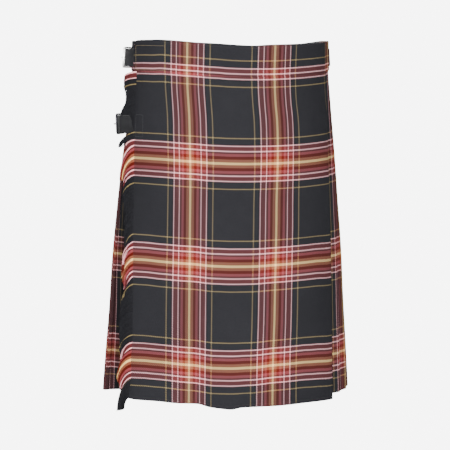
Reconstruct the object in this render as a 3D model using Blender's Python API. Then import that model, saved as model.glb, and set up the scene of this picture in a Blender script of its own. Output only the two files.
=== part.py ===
"""A Scottish kilt in its worn form, cut and sewn the way its maker does it.

Metres, +Z up. The origin is the middle of the waist opening, level with the top edge at the sides.
The front faces -Y, so the wearer's left is +X. The over apron wraps to the wearer's right, where
two straps hold its fringed edge, and the pleats run round the back.

Everything is measured from one envelope: an oval at each drop below the waist, a little deeper and
wider towards the hem. A place on it is given by a station number q (whole numbers are the pleats'
fold edges, then the apron's edge, then points across the apron) and by a depth inside it.
"""

import math

import bmesh
import bpy
from mathutils import Vector

MM = 0.001

# The cut
SETT = 152.4 * MM            # one repeat of the check across the cloth
APRON_WIDTH = 2.5 * SETT     # finished width of the over apron
PLEATS = 24                  # knife pleats, one sett of cloth in each
HEM_DROP = 605 * MM          # waist to hem
CLOTH = 1.0 * MM             # wall of one layer of cloth
SEAM = 0.3 * MM              # gap between pieces
BAND_HEIGHT = 51 * MM
BAND_WALL = 1.2 * MM
SEAM_TURNED = 0.25 * MM      # each band stops this far from the seam between them

# The oval at each drop below the waist, in mm: half-widths to the wearer's left and right, half-depths
# to the front and back, and how far the cloth lines dip at the middle of the front and of the back
OVAL = (
    # drop  left  right  front  back  dip_front  dip_back
    (0, 167.5, 168.5, 116, 117, 9.6, 12.5),
    (51, 169.0, 170.0, 121, 122, 8.6, 11.0),
    (125, 174.5, 177.0, 129, 134, 7.0, 8.0),
    (200, 181.0, 187.5, 137, 147, 5.4, 5.0),
    (330, 190.5, 201.5, 147, 158, 3.4, 3.0),
    (470, 197.5, 211.0, 155, 168, 1.6, 1.0),
    (605, 206.0, 224.0, 163, 178, 0.0, 0.0),
)
DIP_TURN = math.radians(10)  # the front's lowest point lies this far towards the wearer's left

# The pleats at the same drops, in mm: the layers' pitch from one pleat to the next, the open stretch
# between the last fold and the apron's fringed edge, the last pleat's face, and how far that face
# swings out towards the front, in degrees
PLEATING = (
    # drop  pitch  gap  last_face  swing
    (0, 2.6, 13.0, 21.0, 0),
    (51, 2.6, 13.0, 21.0, 0),
    (125, 2.6, 13.0, 24.0, 0),
    (200, 2.6, 14.0, 27.0, 4),
    (330, 3.4, 20.0, 33.0, 16),
    (470, 4.6, 28.0, 39.0, 30),
    (605, 6.0, 36.0, 45.0, 42),
)
# The drops, in mm, of the cloth's rings. The first stops short of the band's top edge, inside its fold.
LEVELS = (1.8, 51.3, 125, 200, 330, 470, 605)

# How deep the under apron lies in the envelope, in mm, behind the over apron and behind the tucked
# folds at the wearer's left
UNDER = (
    # drop  behind_apron  behind_folds
    (0, 7.2, 12.4),
    (51, 7.2, 12.4),
    (125, 5.2, 10.4),
    (200, 5.0, 10.2),
    (330, 5.2, 12.4),
    (470, 6.0, 11.4),
    (605, 7.0, 14.4),
)

APRON_EVEN = 12              # even steps across the apron
APRON_TUCKED = 3             # steps as wide as a pleat's face, over the tucked folds
APRON_STEPS = APRON_EVEN + APRON_TUCKED
EDGE = PLEATS + 1            # station of the apron's fringed edge
UNDER_DEEP = PLEATS + 0.5    # station where the under apron has slipped in below the straps
TURN = EDGE + APRON_STEPS    # station 0 again, once round
APRON_CORNER_LIFT = 4 * MM   # the fringed corner of the hem rides up this far
APRON_CORNER_SHARE = 0.3     # over this share of the apron's width
APRON_FRONT_DROP = 4 * MM    # the apron's hem hangs this far below HEM_DROP
PLEATS_HEM_LIFT = 5 * MM     # and the pleats' hem rides this far above it
TIP_CLOSE = 0.05             # stations between the last rings of a pleat's inner fold
BAND_BACK_ENDS = PLEATS + 0.06
BAND_UNDER_STARTS = PLEATS + 0.1

# The fringe
FRINGE_TOP = BAND_HEIGHT + 2 * MM
STRIP_WIDTH = 2.4 * MM
STRIP_WALL = 1.2 * MM
STRIP_PARTED = 0.4 * MM
STRANDS = 112
STRAND_BEND = 0.55           # where along it a strand bends over
STRAND_DROOP = 1.8           # how much of its fall comes past the bend
STRAND_REACH = (
    # drop  on  out  fall    how far a strand reaches on past the edge, out from the body, and down, in mm
    (53, 6, 14, 10),
    (80, 6, 16, 24),
    (110, 6, 13, 32),
    (160, 8, 12, 36),
    (230, 14, 13, 36),
    (420, 16, 12, 38),
    (560, 14, 10, 38),
    (605, 10, 8, 32),
)

# The straps and their buckles
STRAP_WIDTH = 30 * MM
STRAP_WALL = 2.4 * MM
STRAP_LENGTH = 132 * MM
TIP_LENGTH = 18 * MM
BAR = 2.8 * MM               # side of the buckle frame's square bar
FRAME_HEIGHT = 36.4 * MM
FRAME_CORNER = 3.5 * MM
TAB_WALL = 1.8 * MM
TAB_WIDTH = 27 * MM
TAB_NOTCH = 7 * MM
KEEPER_WIDTH = 9 * MM
KEEPER_WALL = 1.5 * MM
PRONG_WALL = 2.0 * MM
FRONT_BAR_AT = 42 * MM       # these four are measured along a strap from where it comes out
HEEL_BAR_AT = 67 * MM
KEEPER_AT = 88 * MM
TAB_END = 106 * MM
LEAN_OVER = 10 * MM          # a leaning strap leans in full this far above its bed
ROOT_IN_BAND = 5.2 * MM      # how deep a strap's sewn root lies, behind the waistband
ROOT_IN_CLOTH = 4.0 * MM     # and behind the apron
HIDDEN_ROOT = 20 * MM        # how far it reaches in behind the apron's edge
LEATHER_GAP = 0.4 * MM       # clearance round the leather where it passes metal or cloth
STRAP_CLEAR = 2 * MM         # no strand is rooted this near the hip strap
TIP_NARROW = 0.25            # a strap's point is this share of its width
STRAPS = (
    # name  drop  start  way  stand_off  lean    mm; way -1 runs back from the apron's edge; lean in degrees
    ("waist_strap_right", 28.5, 0.0, -1, 1.6, 0.0),
    ("hip_strap_right", 142.5, 0.0, -1, 6.0, 9.0),
    ("waist_strap_left", 28.5, 48.0, 1, 0.2, 0.0),
)

SHARP_OVER = math.radians(30)
CHARCOAL = (0.040, 0.042, 0.050)
MAROON = (0.150, 0.030, 0.035)
BLACK_LEATHER = (0.020, 0.020, 0.022)
NICKEL = (0.75, 0.75, 0.73)


def table(rows, drop, column):
    """The column's value at this drop (metres), from a table in millimetres with a straight run between rows."""
    at = min(max(drop / MM, rows[0][0]), rows[-1][0])
    for low, high in zip(rows, rows[1:]):
        if at <= high[0]:
            share = (at - low[0]) / (high[0] - low[0])
            return low[column] + (high[column] - low[column]) * share
    return rows[-1][column]


def oval_point(turn, drop):
    """The envelope's point in plan, with turn measured from the middle of the front towards the wearer's left."""
    across = math.sin(turn)
    along = math.cos(turn)
    half_width = table(OVAL, drop, 1 if across >= 0 else 2) * MM
    half_depth = table(OVAL, drop, 3 if along >= 0 else 4) * MM
    return Vector((half_width * across, -half_depth * along))


class Oval:
    """The envelope at one drop, walked by length from the middle of the front towards the wearer's left."""

    STEPS = 1440

    def __init__(self, drop):
        self.drop = drop
        self.points = [oval_point(2 * math.pi * i / self.STEPS, drop) for i in range(self.STEPS + 1)]
        self.lengths = [0.0]
        for a, b in zip(self.points, self.points[1:]):
            self.lengths.append(self.lengths[-1] + (b - a).length)
        self.girth = self.lengths[-1]

    def at(self, length):
        """(point, turn) this far round."""
        length %= self.girth
        low = 0
        high = self.STEPS
        while high - low > 1:
            middle = (low + high) // 2
            if self.lengths[middle] <= length:
                low = middle
            else:
                high = middle
        share = (length - self.lengths[low]) / (self.lengths[high] - self.lengths[low])
        point = self.points[low].lerp(self.points[high], share)
        return point, 2 * math.pi * (low + share) / self.STEPS


def dip(turn, drop):
    """How far a cloth line sags below its drop at the sides."""
    along = math.cos(turn)
    if along < 0:
        return table(OVAL, drop, 6) * MM * along**2
    easing = min(1.0, along / 0.25)
    return table(OVAL, drop, 5) * MM * math.cos(turn - DIP_TURN) ** 2 * easing


class Level:
    """The stations and their outward normals at one drop."""

    def __init__(self, drop):
        self.drop = drop
        oval = Oval(drop)
        half_apron = APRON_WIDTH / 2
        gap = table(PLEATING, drop, 2) * MM
        last = table(PLEATING, drop, 3) * MM
        self.pitch = table(PLEATING, drop, 1) * MM
        self.face = (oval.girth - APRON_WIDTH - gap - last) / (PLEATS - 1)
        lengths = [half_apron + i * self.face for i in range(PLEATS)]
        lengths.append(lengths[-1] + last)
        lengths.append(oval.girth - half_apron)
        even = (APRON_WIDTH - APRON_TUCKED * self.face) / APRON_EVEN
        for step in range(1, APRON_EVEN + 1):
            lengths.append(lengths[EDGE] + step * even)
        for step in range(1, APRON_TUCKED):
            lengths.append(lengths[EDGE] + APRON_EVEN * even + step * self.face)
        found = [oval.at(length) for length in lengths]
        self.plan = [point for point, turn in found]
        self.sag = [dip(turn, drop) for point, turn in found]
        swing = math.radians(table(PLEATING, drop, 4))
        hinge = self.plan[PLEATS - 1]
        face = self.plan[PLEATS] - hinge
        # The last face turns about the fold before it, away from the middle of the body.
        across = face.x * math.cos(swing) - face.y * math.sin(swing)
        along = face.x * math.sin(swing) + face.y * math.cos(swing)
        self.plan[PLEATS] = hinge + Vector((across, along))
        self.normals = [self.mitre(i) for i in range(len(self.plan))]

    def mitre(self, i):
        """The outward direction at a station, long enough to keep layers parallel on both sides of it."""
        count = len(self.plan)
        before = (self.plan[i] - self.plan[i - 1]).normalized()
        after = (self.plan[(i + 1) % count] - self.plan[i]).normalized()
        out_before = Vector((before.y, -before.x))
        out_after = Vector((after.y, -after.x))
        middle = (out_before + out_after).normalized()
        return middle / middle.dot(out_after)

    def place(self, q, depth, lower=0.0):
        """The point at station q, this deep inside the envelope, moved down by lower."""
        q %= TURN
        i = int(math.floor(q + 1e-9))
        share = q - i
        j = (i + 1) % TURN
        plan = self.plan[i].lerp(self.plan[j], share)
        out = self.normals[i].lerp(self.normals[j], share)
        sag = self.sag[i] * (1 - share) + self.sag[j] * share
        spot = plan - out * depth
        return Vector((spot.x, spot.y, -self.drop - sag - lower))

    def tip(self):
        """How many faces deep a pleat's inner fold lies."""
        return (SETT - self.face) / (2 * self.face)

    def per_mm(self, q):
        """How many stations one metre spans near q."""
        i = int(q) % TURN
        return 1 / (self.plan[(i + 1) % TURN] - self.plan[i]).length


def clamp(value, low, high):
    return min(max(value, low), high)


def new_object(name, corners, faces, colour, roughness, metallic=0.0):
    mesh = bpy.data.meshes.new(name)
    mesh.from_pydata(corners, [], faces)
    mesh.validate()
    tidy = bmesh.new()
    tidy.from_mesh(mesh)
    bmesh.ops.recalc_face_normals(tidy, faces=tidy.faces)
    tidy.to_mesh(mesh)
    tidy.free()
    mesh.shade_smooth()
    mesh.set_sharp_from_angle(angle=SHARP_OVER)
    material = bpy.data.materials.new(name)
    material.use_nodes = True
    shader = material.node_tree.nodes["Principled BSDF"]
    shader.inputs["Base Color"].default_value = (*colour, 1)
    shader.inputs["Roughness"].default_value = roughness
    shader.inputs["Metallic"].default_value = metallic
    mesh.materials.append(material)
    made = bpy.data.objects.new(name, mesh)
    bpy.context.scene.collection.objects.link(made)
    return made


def loft(name, sections, colour, roughness, metallic=0.0, closed=False):
    """A solid through sections of equal numbers of corners, with flat ends unless it closes on itself."""
    size = len(sections[0])
    corners = [corner for section in sections for corner in section]
    faces = []
    runs = len(sections) if closed else len(sections) - 1
    for k in range(runs):
        here = k * size
        there = (k + 1) % len(sections) * size
        for i in range(size):
            j = (i + 1) % size
            faces.append((here + i, here + j, there + j, there + i))
    if not closed:
        faces.append(tuple(range(size)))
        faces.append(tuple(range(len(corners) - size, len(corners))))
    return new_object(name, corners, faces, colour, roughness, metallic)


def wall(name, path_at, levels, lower_hem):
    """A cloth wall. path_at(level) gives its (q, depth) pairs: the face side's, then the back side's."""
    rings = []
    for level in levels:
        pairs = path_at(level)
        at_hem = level is levels[-1]
        lower = [lower_hem(pair[0]) if at_hem else 0.0 for pair in pairs]
        face_side = [level.place(q, depth, low) for (q, depth, _, _), low in zip(pairs, lower)]
        back_side = [level.place(q, depth, low) for (_, _, q, depth), low in zip(pairs, lower)]
        rings.append((face_side, back_side))
    count = len(rings[0][0])
    corners = []
    for face_side, back_side in rings:
        corners += face_side + back_side
    faces = []
    forwards = [pairs[i + 1][2] > pairs[i][2] for i in range(count - 1)]
    for k in range(len(rings) - 1):
        here = k * 2 * count
        there = here + 2 * count
        for side in (0, count):
            for i, forward in enumerate(forwards, side):
                # The diagonals run the same way round the body in every layer, so layers stay parallel.
                a, b, c, d = here + i, here + i + 1, there + i + 1, there + i
                faces += [(a, b, c), (a, c, d)] if forward else [(a, b, d), (b, c, d)]
        for i in (0, count - 1):
            faces.append((here + i, here + i + count, there + i + count, there + i))
    for start in (0, (len(rings) - 1) * 2 * count):
        for i in range(start, start + count - 1):
            faces.append((i, i + 1, i + 1 + count, i + count))
    return new_object(name, corners, faces, CHARCOAL, 0.85)


def outer_depth(level, pleat, q):
    """Depth of a pleat's outer layer: its fold edge is at the envelope, and it slopes in under its neighbours."""
    return level.pitch * (pleat - clamp(q, 0, PLEATS))


def layer_stops(level, tip, steps):
    """Places along a layer, in faces back from its fold: each whole face that it passes, then its tip."""
    return [min(step, tip - TIP_CLOSE * (steps + 1 - step)) for step in range(1, steps + 1)] + [tip]


def forward_layer(level, pleat, last=True):
    """The outer layer of a pleat, from its inner fold to its fold edge: (face q, depth, back q, depth)."""
    tip = level.tip() + 1
    inset = CLOTH * level.per_mm(pleat - tip)
    pairs = []
    stops = layer_stops(level, tip, 3)
    for back in reversed(stops):
        q = pleat - back
        depth = outer_depth(level, pleat, q)
        at_tip = back == stops[-1]
        q_face = q + inset if at_tip else q
        pairs.append((q_face, outer_depth(level, pleat, q_face), q, depth + CLOTH))
    if last:
        edge = pleat - CLOTH * level.per_mm(pleat - 0.5)
        pairs.append((pleat, outer_depth(level, pleat, pleat), edge, outer_depth(level, pleat, edge) + CLOTH))
    return pairs


def return_layer(level, pleat):
    """The under layer of a pleat, from its fold edge back to its inner fold."""
    half = level.pitch / 2
    tip = level.tip()
    edge = pleat - CLOTH * level.per_mm(pleat - 0.5)
    pairs = [(pleat, half + outer_depth(level, pleat, pleat) + CLOTH, edge, half + outer_depth(level, pleat, edge))]
    stops = layer_stops(level, tip, 2)
    inset = CLOTH * level.per_mm(pleat - tip)
    for back in stops:
        q = pleat - back
        depth = half + outer_depth(level, pleat, q)
        q_face = q + inset if back == stops[-1] else q
        face_depth = half + outer_depth(level, pleat, q_face) + CLOTH
        pairs.append((q_face, face_depth, q, depth))
    return pairs


def pleat_run(first, last):
    def path(level):
        pairs = []
        for pleat in range(first, last + 1):
            pairs += forward_layer(level, pleat)
            pairs += return_layer(level, pleat)
        return pairs

    return path


def over_apron_path(level):
    """From the fringed edge, flat across the front, over the fold at the wearer's left and back under."""
    pairs = [(q, 0.0, q, CLOTH) for q in range(EDGE, TURN)]
    edge = TURN - CLOTH * level.per_mm(TURN - 0.5)
    pairs.append((TURN, 0.0, edge, CLOTH))
    for q, depth, q_back, depth_back in return_layer(level, 0):
        pairs.append((q + TURN, depth, q_back + TURN, depth_back))
    return pairs


def over_apron_hem(q):
    """How far the apron's hem hangs below the pleats': less at the fringed corner."""
    across = clamp((q - EDGE) / APRON_STEPS, 0, 1)
    lift = APRON_CORNER_LIFT * max(0.0, 1 - across / APRON_CORNER_SHARE)
    return APRON_FRONT_DROP - lift


def pleats_hem(q):
    """The pleats' hem rides above the apron's all the way round."""
    return -PLEATS_HEM_LIFT


def under_depth(level, q):
    """Depth of the under apron's face: it slips inside the over apron, then inside the tucked folds."""
    behind_apron = table(UNDER, level.drop, 1) * MM
    behind_folds = table(UNDER, level.drop, 2) * MM
    if q <= PLEATS:
        return level.pitch * (PLEATS + 1 - q)
    if q <= UNDER_DEEP:
        return level.pitch + (behind_apron - level.pitch) * (q - PLEATS) / (UNDER_DEEP - PLEATS)
    share = clamp(q - (TURN - APRON_TUCKED - 1), 0, 1)
    return behind_apron + (behind_folds - behind_apron) * share


def under_apron_path(level):
    pairs = forward_layer(level, PLEATS + 1, last=False)
    stations = [PLEATS, UNDER_DEEP] + list(range(EDGE, TURN))
    for q in stations:
        depth = under_depth(level, q)
        pairs.append((q, depth, q, depth + CLOTH))
    return pairs


def band_section(q, outer, inner):
    """The folded band at one station: an upturned U with its walls outer and inner deep."""
    def spot(drop, depth):
        return BAND_LEVELS[drop].place(q, depth)

    top = 0.0
    under_top = BAND_WALL
    return [
        spot(BAND_HEIGHT, outer),
        spot(top, outer),
        spot(top, inner + BAND_WALL),
        spot(BAND_HEIGHT, inner + BAND_WALL),
        spot(BAND_HEIGHT, inner),
        spot(under_top, inner),
        spot(under_top, outer + BAND_WALL),
        spot(BAND_HEIGHT, outer + BAND_WALL),
    ]


def make_bands():
    top = BAND_LEVELS[BAND_WALL]
    outside = -(SEAM + BAND_WALL)
    snug = CLOTH + SEAM
    seam_q = SEAM_TURNED * top.per_mm(0)
    stack = top.pitch * (top.tip() + 1) + CLOTH + SEAM
    tucked = top.pitch * APRON_TUCKED + CLOTH + 2 * SEAM

    # Over the apron: thin across the front, deep where the first pleats tuck under it
    rows = [(q, outside, snug) for q in range(EDGE, TURN - APRON_TUCKED)]
    rows += [(q, outside, tucked) for q in range(TURN - APRON_TUCKED, TURN)]
    rows.append((TURN - seam_q, outside, stack))
    loft("waistband_front", [band_section(*row) for row in rows], CHARCOAL, 0.85)

    # Round the pleats
    rows = [(seam_q, outside, stack)]
    rows += [(q, outside, stack) for q in range(1, PLEATS + 1)]
    rows.append((BAND_BACK_ENDS, outside, stack))
    loft("waistband_back", [band_section(*row) for row in rows], CHARCOAL, 0.85)

    # Along the under apron
    stations = [BAND_UNDER_STARTS, UNDER_DEEP] + list(range(EDGE, TURN))
    rows = []
    for q in stations:
        depth = under_depth(top, q)
        rows.append((q, depth + outside, depth + snug))
    loft("waistband_under", [band_section(*row) for row in rows], CHARCOAL, 0.85)


def make_fringe(levels):
    """A narrow strip along the apron's edge, parted from it, with strands standing out of its far side."""
    rows = 2 * STRANDS
    step = (HEM_DROP - FRINGE_TOP) / (rows - 1)
    corners = []
    faces = []
    for row in range(rows):
        edge, on, out = apron_edge(levels, FRINGE_TOP + row * step)
        near = edge + on * STRIP_PARTED
        far = near + on * STRIP_WIDTH
        corners += [near, far, far - out * STRIP_WALL, near - out * STRIP_WALL]
    for row in range(rows - 1):
        here = row * 4
        there = here + 4
        for i in (0, 2, 3):
            j = (i + 1) % 4
            faces.append((here + i, here + j, there + j, there + i))
        root = (here + 1, here + 2, there + 2, there + 1)
        drop = FRINGE_TOP + row * step
        if row % 2 or across_hip_strap(drop):
            faces.append(root)
            continue
        edge, on, out = apron_edge(levels, drop)
        for part in (STRAND_BEND, 1.0):
            sideways = on * table(STRAND_REACH, drop, 1) * MM * part
            outwards = out * table(STRAND_REACH, drop, 2) * MM * part
            fall = table(STRAND_REACH, drop, 3) * MM * part**STRAND_DROOP
            move = sideways + outwards - Vector((0, 0, fall))
            base = len(corners)
            corners += [corners[k] + move for k in (here + 1, here + 2, there + 2, there + 1)]
            fresh = (base, base + 1, base + 2, base + 3)
            for i in range(4):
                j = (i + 1) % 4
                faces.append((root[i], root[j], fresh[j], fresh[i]))
            root = fresh
        faces.append(root)
    last = (rows - 1) * 4
    faces += [(0, 1, 2, 3), (last, last + 1, last + 2, last + 3)]
    new_object("fringe", corners, faces, MAROON, 0.9)


def apron_edge(levels, drop):
    """The apron's fringed edge at a drop: the point, the way on past the edge, and the way out."""
    below = next(k for k, level in enumerate(levels) if level.drop >= drop)
    low = levels[below - 1]
    high = levels[below]
    share = (drop - low.drop) / (high.drop - low.drop)
    edge = low.place(EDGE, 0).lerp(high.place(EDGE, 0), share)
    inner = low.place(EDGE + 1, 0).lerp(high.place(EDGE + 1, 0), share)
    on = edge - inner
    on.z = 0
    on.normalize()
    return edge, on, Vector((-on.y, on.x, 0))


def across_hip_strap(drop):
    """Whether a strand rooted at this drop would hang across the hip strap."""
    hip = STRAPS[1][1] * MM
    fall = table(STRAND_REACH, drop, 3) * MM
    reach = STRAP_WIDTH / 2 + STRAP_CLEAR
    return hip - reach - fall < drop < hip + reach


class Strap:
    """The run of one strap round the side: places are (along, rise, up), rise being out of the envelope."""

    def __init__(self, drop, start, way, lean, bed):
        self.oval = Oval(drop)
        self.level = Level(drop)
        self.way = way
        self.drop = drop
        self.start = start - APRON_WIDTH / 2 if way < 0 else start + APRON_WIDTH / 2
        above = Oval(drop - STRAP_WIDTH / 2)
        below = Oval(drop + STRAP_WIDTH / 2)
        self.flare = (below.girth - above.girth) / (2 * math.pi) / STRAP_WIDTH
        self.lean = math.tan(lean)
        self.bed = bed

    def place(self, along, rise, up):
        lifted = clamp((rise - self.bed) / LEAN_OVER, 0, 1)
        rise += up * (self.lean * lifted - self.flare)
        if along < 0:
            # Tucked behind the apron's edge, it follows the cloth's own facets.
            spot = self.level.place(EDGE - along * self.level.per_mm(EDGE), -rise)
            return Vector((spot.x, spot.y, spot.z + up))
        point, turn = self.oval.at(self.start + self.way * along)
        after, _ = self.oval.at(self.start + self.way * along + MM)
        run = (after - point).normalized()
        spot = point + Vector((run.y, -run.x)) * rise
        return Vector((spot.x, spot.y, -self.drop - dip(turn, self.drop) + up))

    def plate(self, name, outline, half):
        """An outline in (along, rise), drawn out to both sides of the strap's middle."""
        sections = [[self.place(along, rise, up) for along, rise in outline] for up in (-half, half)]
        return loft(name, sections, BLACK_LEATHER, 0.45)

    def cut_box(self, target, along, rise, half):
        """Cuts away what lies between two places along, two rises and both sides of the middle."""
        places = ((along[0], rise[0]), (along[1], rise[0]), (along[1], rise[1]), (along[0], rise[1]))
        sections = [[self.place(a, r, up) for a, r in places] for up in (-half, half)]
        cutter = loft(target.name + "_cutter", sections, NICKEL, 0.5)
        cutter.hide_render = True
        cutter.display_type = "WIRE"
        cut = target.modifiers.new("cut", "BOOLEAN")
        cut.operation = "DIFFERENCE"
        cut.object = cutter


class Stack:
    """How high each layer of a strap's fastening rises out of the envelope."""

    def __init__(self, on_band, stand_off):
        self.root = -ROOT_IN_BAND if on_band else -ROOT_IN_CLOTH
        self.bed = 2 * SEAM + LEATHER_GAP + (BAND_WALL if on_band else 0)
        self.loop = BAR / 2 * math.sqrt(2) + 2 * SEAM
        self.heel = self.bed + TAB_WALL + self.loop
        self.over_heel = self.heel + self.loop + TAB_WALL + LEATHER_GAP
        self.tab_top = self.bed + 2 * TAB_WALL + SEAM
        self.in_keeper = self.tab_top + KEEPER_WALL + 2 * SEAM
        self.front = self.over_heel + STRAP_WALL + stand_off
        self.under_front = self.front - BAR / 2 - LEATHER_GAP - SEAM - STRAP_WALL


def make_strap(name, drop, start, way, stand_off, lean):
    stack = Stack(drop * MM < BAND_HEIGHT, stand_off * MM)
    run = Strap(drop * MM, start * MM, way, math.radians(lean), stack.bed)
    stem = name.replace("_strap_", "_")
    make_leather(run, name, stack, hidden_root=way < 0)
    make_tab(run, "buckle_tab_" + stem, stack)
    make_keeper(run, "keeper_" + stem, stack)
    make_frame(run, "buckle_" + stem, stack)
    make_prong(run, "prong_" + stem, stack)


def make_leather(run, name, stack, hidden_root):
    """The strap itself: out from its root, under the buckle's front bar, over its heel bar, to its point."""
    if hidden_root:
        rows = [(-HIDDEN_ROOT / MM, stack.root), (-0.1, stack.root), (4.5, stack.root), (12, stack.bed + LEATHER_GAP)]
    else:
        rows = [(0.5, stack.bed), (7, stack.bed), (14, stack.bed)]
    front = FRONT_BAR_AT / MM
    heel = HEEL_BAR_AT / MM
    keeper = KEEPER_AT / MM
    rows += [
        (front - 16, stack.under_front - 1.2 * MM),
        (front - 4, stack.under_front),
        (front + 4, stack.under_front),
        (heel - 7, stack.over_heel),
        (heel + 5, stack.over_heel),
        (keeper - 6, stack.in_keeper),
        (keeper + 6, stack.in_keeper),
        ((STRAP_LENGTH - TIP_LENGTH) / MM, stack.tab_top + SEAM),
        ((STRAP_LENGTH - TIP_LENGTH * 0.35) / MM, stack.tab_top - 1.2 * MM),
        (STRAP_LENGTH / MM, stack.tab_top - 2.0 * MM),
    ]
    sections = []
    for place, rise in rows:
        half = STRAP_WIDTH / 2
        left = STRAP_LENGTH - place * MM
        if left < TIP_LENGTH:
            half *= TIP_NARROW + (1 - TIP_NARROW) * math.sqrt(left / TIP_LENGTH)
        edges = ((rise, half), (rise + STRAP_WALL, half), (rise + STRAP_WALL, -half), (rise, -half))
        sections.append([run.place(place * MM, lift, up) for lift, up in edges])
    strap = loft(name, sections, BLACK_LEATHER, 0.45)
    hole = (HEEL_BAR_AT - 17 * MM, HEEL_BAR_AT - 4.5 * MM)
    run.cut_box(strap, hole, (stack.over_heel - 3 * MM, stack.front + 2 * MM), PRONG_WALL)


def make_tab(run, name, stack):
    """A leather strip folded round the buckle's heel bar, notched where the prong sits on it."""
    upper = stack.bed + TAB_WALL + SEAM
    behind = HEEL_BAR_AT + 9 * MM
    stretch = [TAB_END + (behind - TAB_END) * k / 3 for k in range(4)]
    outer = [(along, upper + TAB_WALL) for along in stretch]
    inner = [(along, upper) for along in stretch]
    for radius, side in ((stack.loop + TAB_WALL, outer), (stack.loop, inner)):
        side.append((HEEL_BAR_AT + stack.loop, stack.heel + radius))
        for step in range(7):
            turn = math.pi / 2 + math.pi * step / 6
            side.append((HEEL_BAR_AT + radius * math.cos(turn), stack.heel + radius * math.sin(turn)))
    outer += [(along, stack.bed) for along in reversed(stretch)]
    inner += [(along, stack.bed + TAB_WALL) for along in reversed(stretch)]
    tab = run.plate(name, outer + inner[::-1], TAB_WIDTH / 2)
    notch = (HEEL_BAR_AT - 10 * MM, HEEL_BAR_AT + 5 * MM)
    run.cut_box(tab, notch, (stack.bed + TAB_WALL + 0.1 * MM, stack.over_heel + 2 * MM), TAB_NOTCH / 2)


def make_keeper(run, name, stack):
    """A leather loop round the strap's free end."""
    half = STRAP_WIDTH / 2 + LEATHER_GAP
    low = stack.in_keeper - SEAM
    high = stack.in_keeper + STRAP_WALL + LEATHER_GAP
    corners = []
    for along in (KEEPER_AT - KEEPER_WIDTH / 2, KEEPER_AT + KEEPER_WIDTH / 2):
        for grow in (0, KEEPER_WALL):
            for rise, up in ((low - grow, -1), (low - grow, 1), (high + grow, 1), (high + grow, -1)):
                corners.append(run.place(along, rise, up * (half + grow)))
    faces = []
    for i in range(4):
        j = (i + 1) % 4
        for a, b in ((0, 8), (4, 12), (0, 4), (8, 12)):
            faces.append((a + i, a + j, b + j, b + i))
    new_object(name, corners, faces, BLACK_LEATHER, 0.45)


def make_frame(run, name, stack):
    """The buckle's frame: a rounded rectangle of square bar, its front bar raised over the strap."""
    middle = (FRONT_BAR_AT + HEEL_BAR_AT) / 2
    reach_along = (HEEL_BAR_AT - FRONT_BAR_AT) / 2 - FRAME_CORNER
    reach_up = (FRAME_HEIGHT - BAR) / 2 - FRAME_CORNER
    sections = []
    for quarter in range(4):
        for part in range(3):
            turn = math.pi / 2 * (quarter + part / 2)
            along_sign = 1 if quarter in (0, 3) else -1
            up_sign = 1 if quarter in (0, 1) else -1
            ring = []
            bar_along = middle + along_sign * reach_along + FRAME_CORNER * math.cos(turn)
            share = (bar_along - FRONT_BAR_AT) / (HEEL_BAR_AT - FRONT_BAR_AT)
            bar_rise = stack.front + (stack.heel - stack.front) * share
            for grow, lift in ((-1, -1), (-1, 1), (1, 1), (1, -1)):
                along = bar_along + grow * BAR / 2 * math.cos(turn)
                up = up_sign * reach_up + (FRAME_CORNER + grow * BAR / 2) * math.sin(turn)
                ring.append(run.place(along, bar_rise + lift * BAR / 2, up))
            sections.append(ring)
    loft(name, sections, NICKEL, 0.25, 1.0, closed=True)


def make_prong(run, name, stack):
    """A bar hooked over the heel bar, up through the strap's hole and down on the front bar."""
    half = PRONG_WALL / 2
    eye = BAR / 2 * math.sqrt(2) + SEAM + half
    path = []
    for angle in (-20, 15, 50, 90):
        turn = math.radians(angle)
        path.append((HEEL_BAR_AT + eye * math.cos(turn), stack.heel + eye * math.sin(turn)))
    on_front = stack.front + BAR / 2 + LEATHER_GAP + half
    path.append((HEEL_BAR_AT - 5 * MM, stack.heel + eye - 0.2 * MM))
    path.append((FRONT_BAR_AT + 5 * MM, on_front))
    path.append((FRONT_BAR_AT - 3 * MM, on_front))
    sections = []
    for i, (along, rise) in enumerate(path):
        before = Vector(path[max(i - 1, 0)])
        after = Vector(path[min(i + 1, len(path) - 1)])
        run_on = (after - before).normalized()
        across = Vector((-run_on.y, run_on.x)) * half
        ring = []
        for side, up in ((-1, -1), (1, -1), (1, 1), (-1, 1)):
            spot = Vector((along, rise)) + across * side
            ring.append(run.place(spot.x, spot.y, up * half))
        sections.append(ring)
    loft(name, sections, NICKEL, 0.25, 1.0)


def make_straps():
    for spec in STRAPS:
        make_strap(*spec)


def main():
    for old in list(bpy.data.objects):
        bpy.data.objects.remove(old)
    levels = [Level(drop * MM) for drop in LEVELS]
    wall("over_apron", over_apron_path, levels, over_apron_hem)
    wall("under_apron", under_apron_path, levels, pleats_hem)
    for part in range(4):
        first = part * PLEATS // 4 + 1
        wall(f"pleats_{part + 1}", pleat_run(first, first + PLEATS // 4 - 1), levels, pleats_hem)
    make_bands()
    make_fringe(levels)
    make_straps()


BAND_LEVELS = {drop: Level(drop) for drop in (0.0, BAND_WALL, BAND_HEIGHT)}

main()
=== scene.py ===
# %% [markdown]
# # Dressing a kilt
#
# A kilt is one long strip of twill with a check woven in. Its two ends cross flat over the front as
# aprons, and the rest is folded into knife pleats round the back. A folded band closes its top, and
# leather straps with buckles hold the aprons. The solids from the CAD model say where every layer
# lies. This lesson replaces the plain walls with thin cloth on the same rule, and gives each piece
# its finish.

import bisect
import functools
import itertools
import math

import bmesh
import bpy
from mathutils import Matrix, Vector
from mathutils.bvhtree import BVHTree


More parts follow.
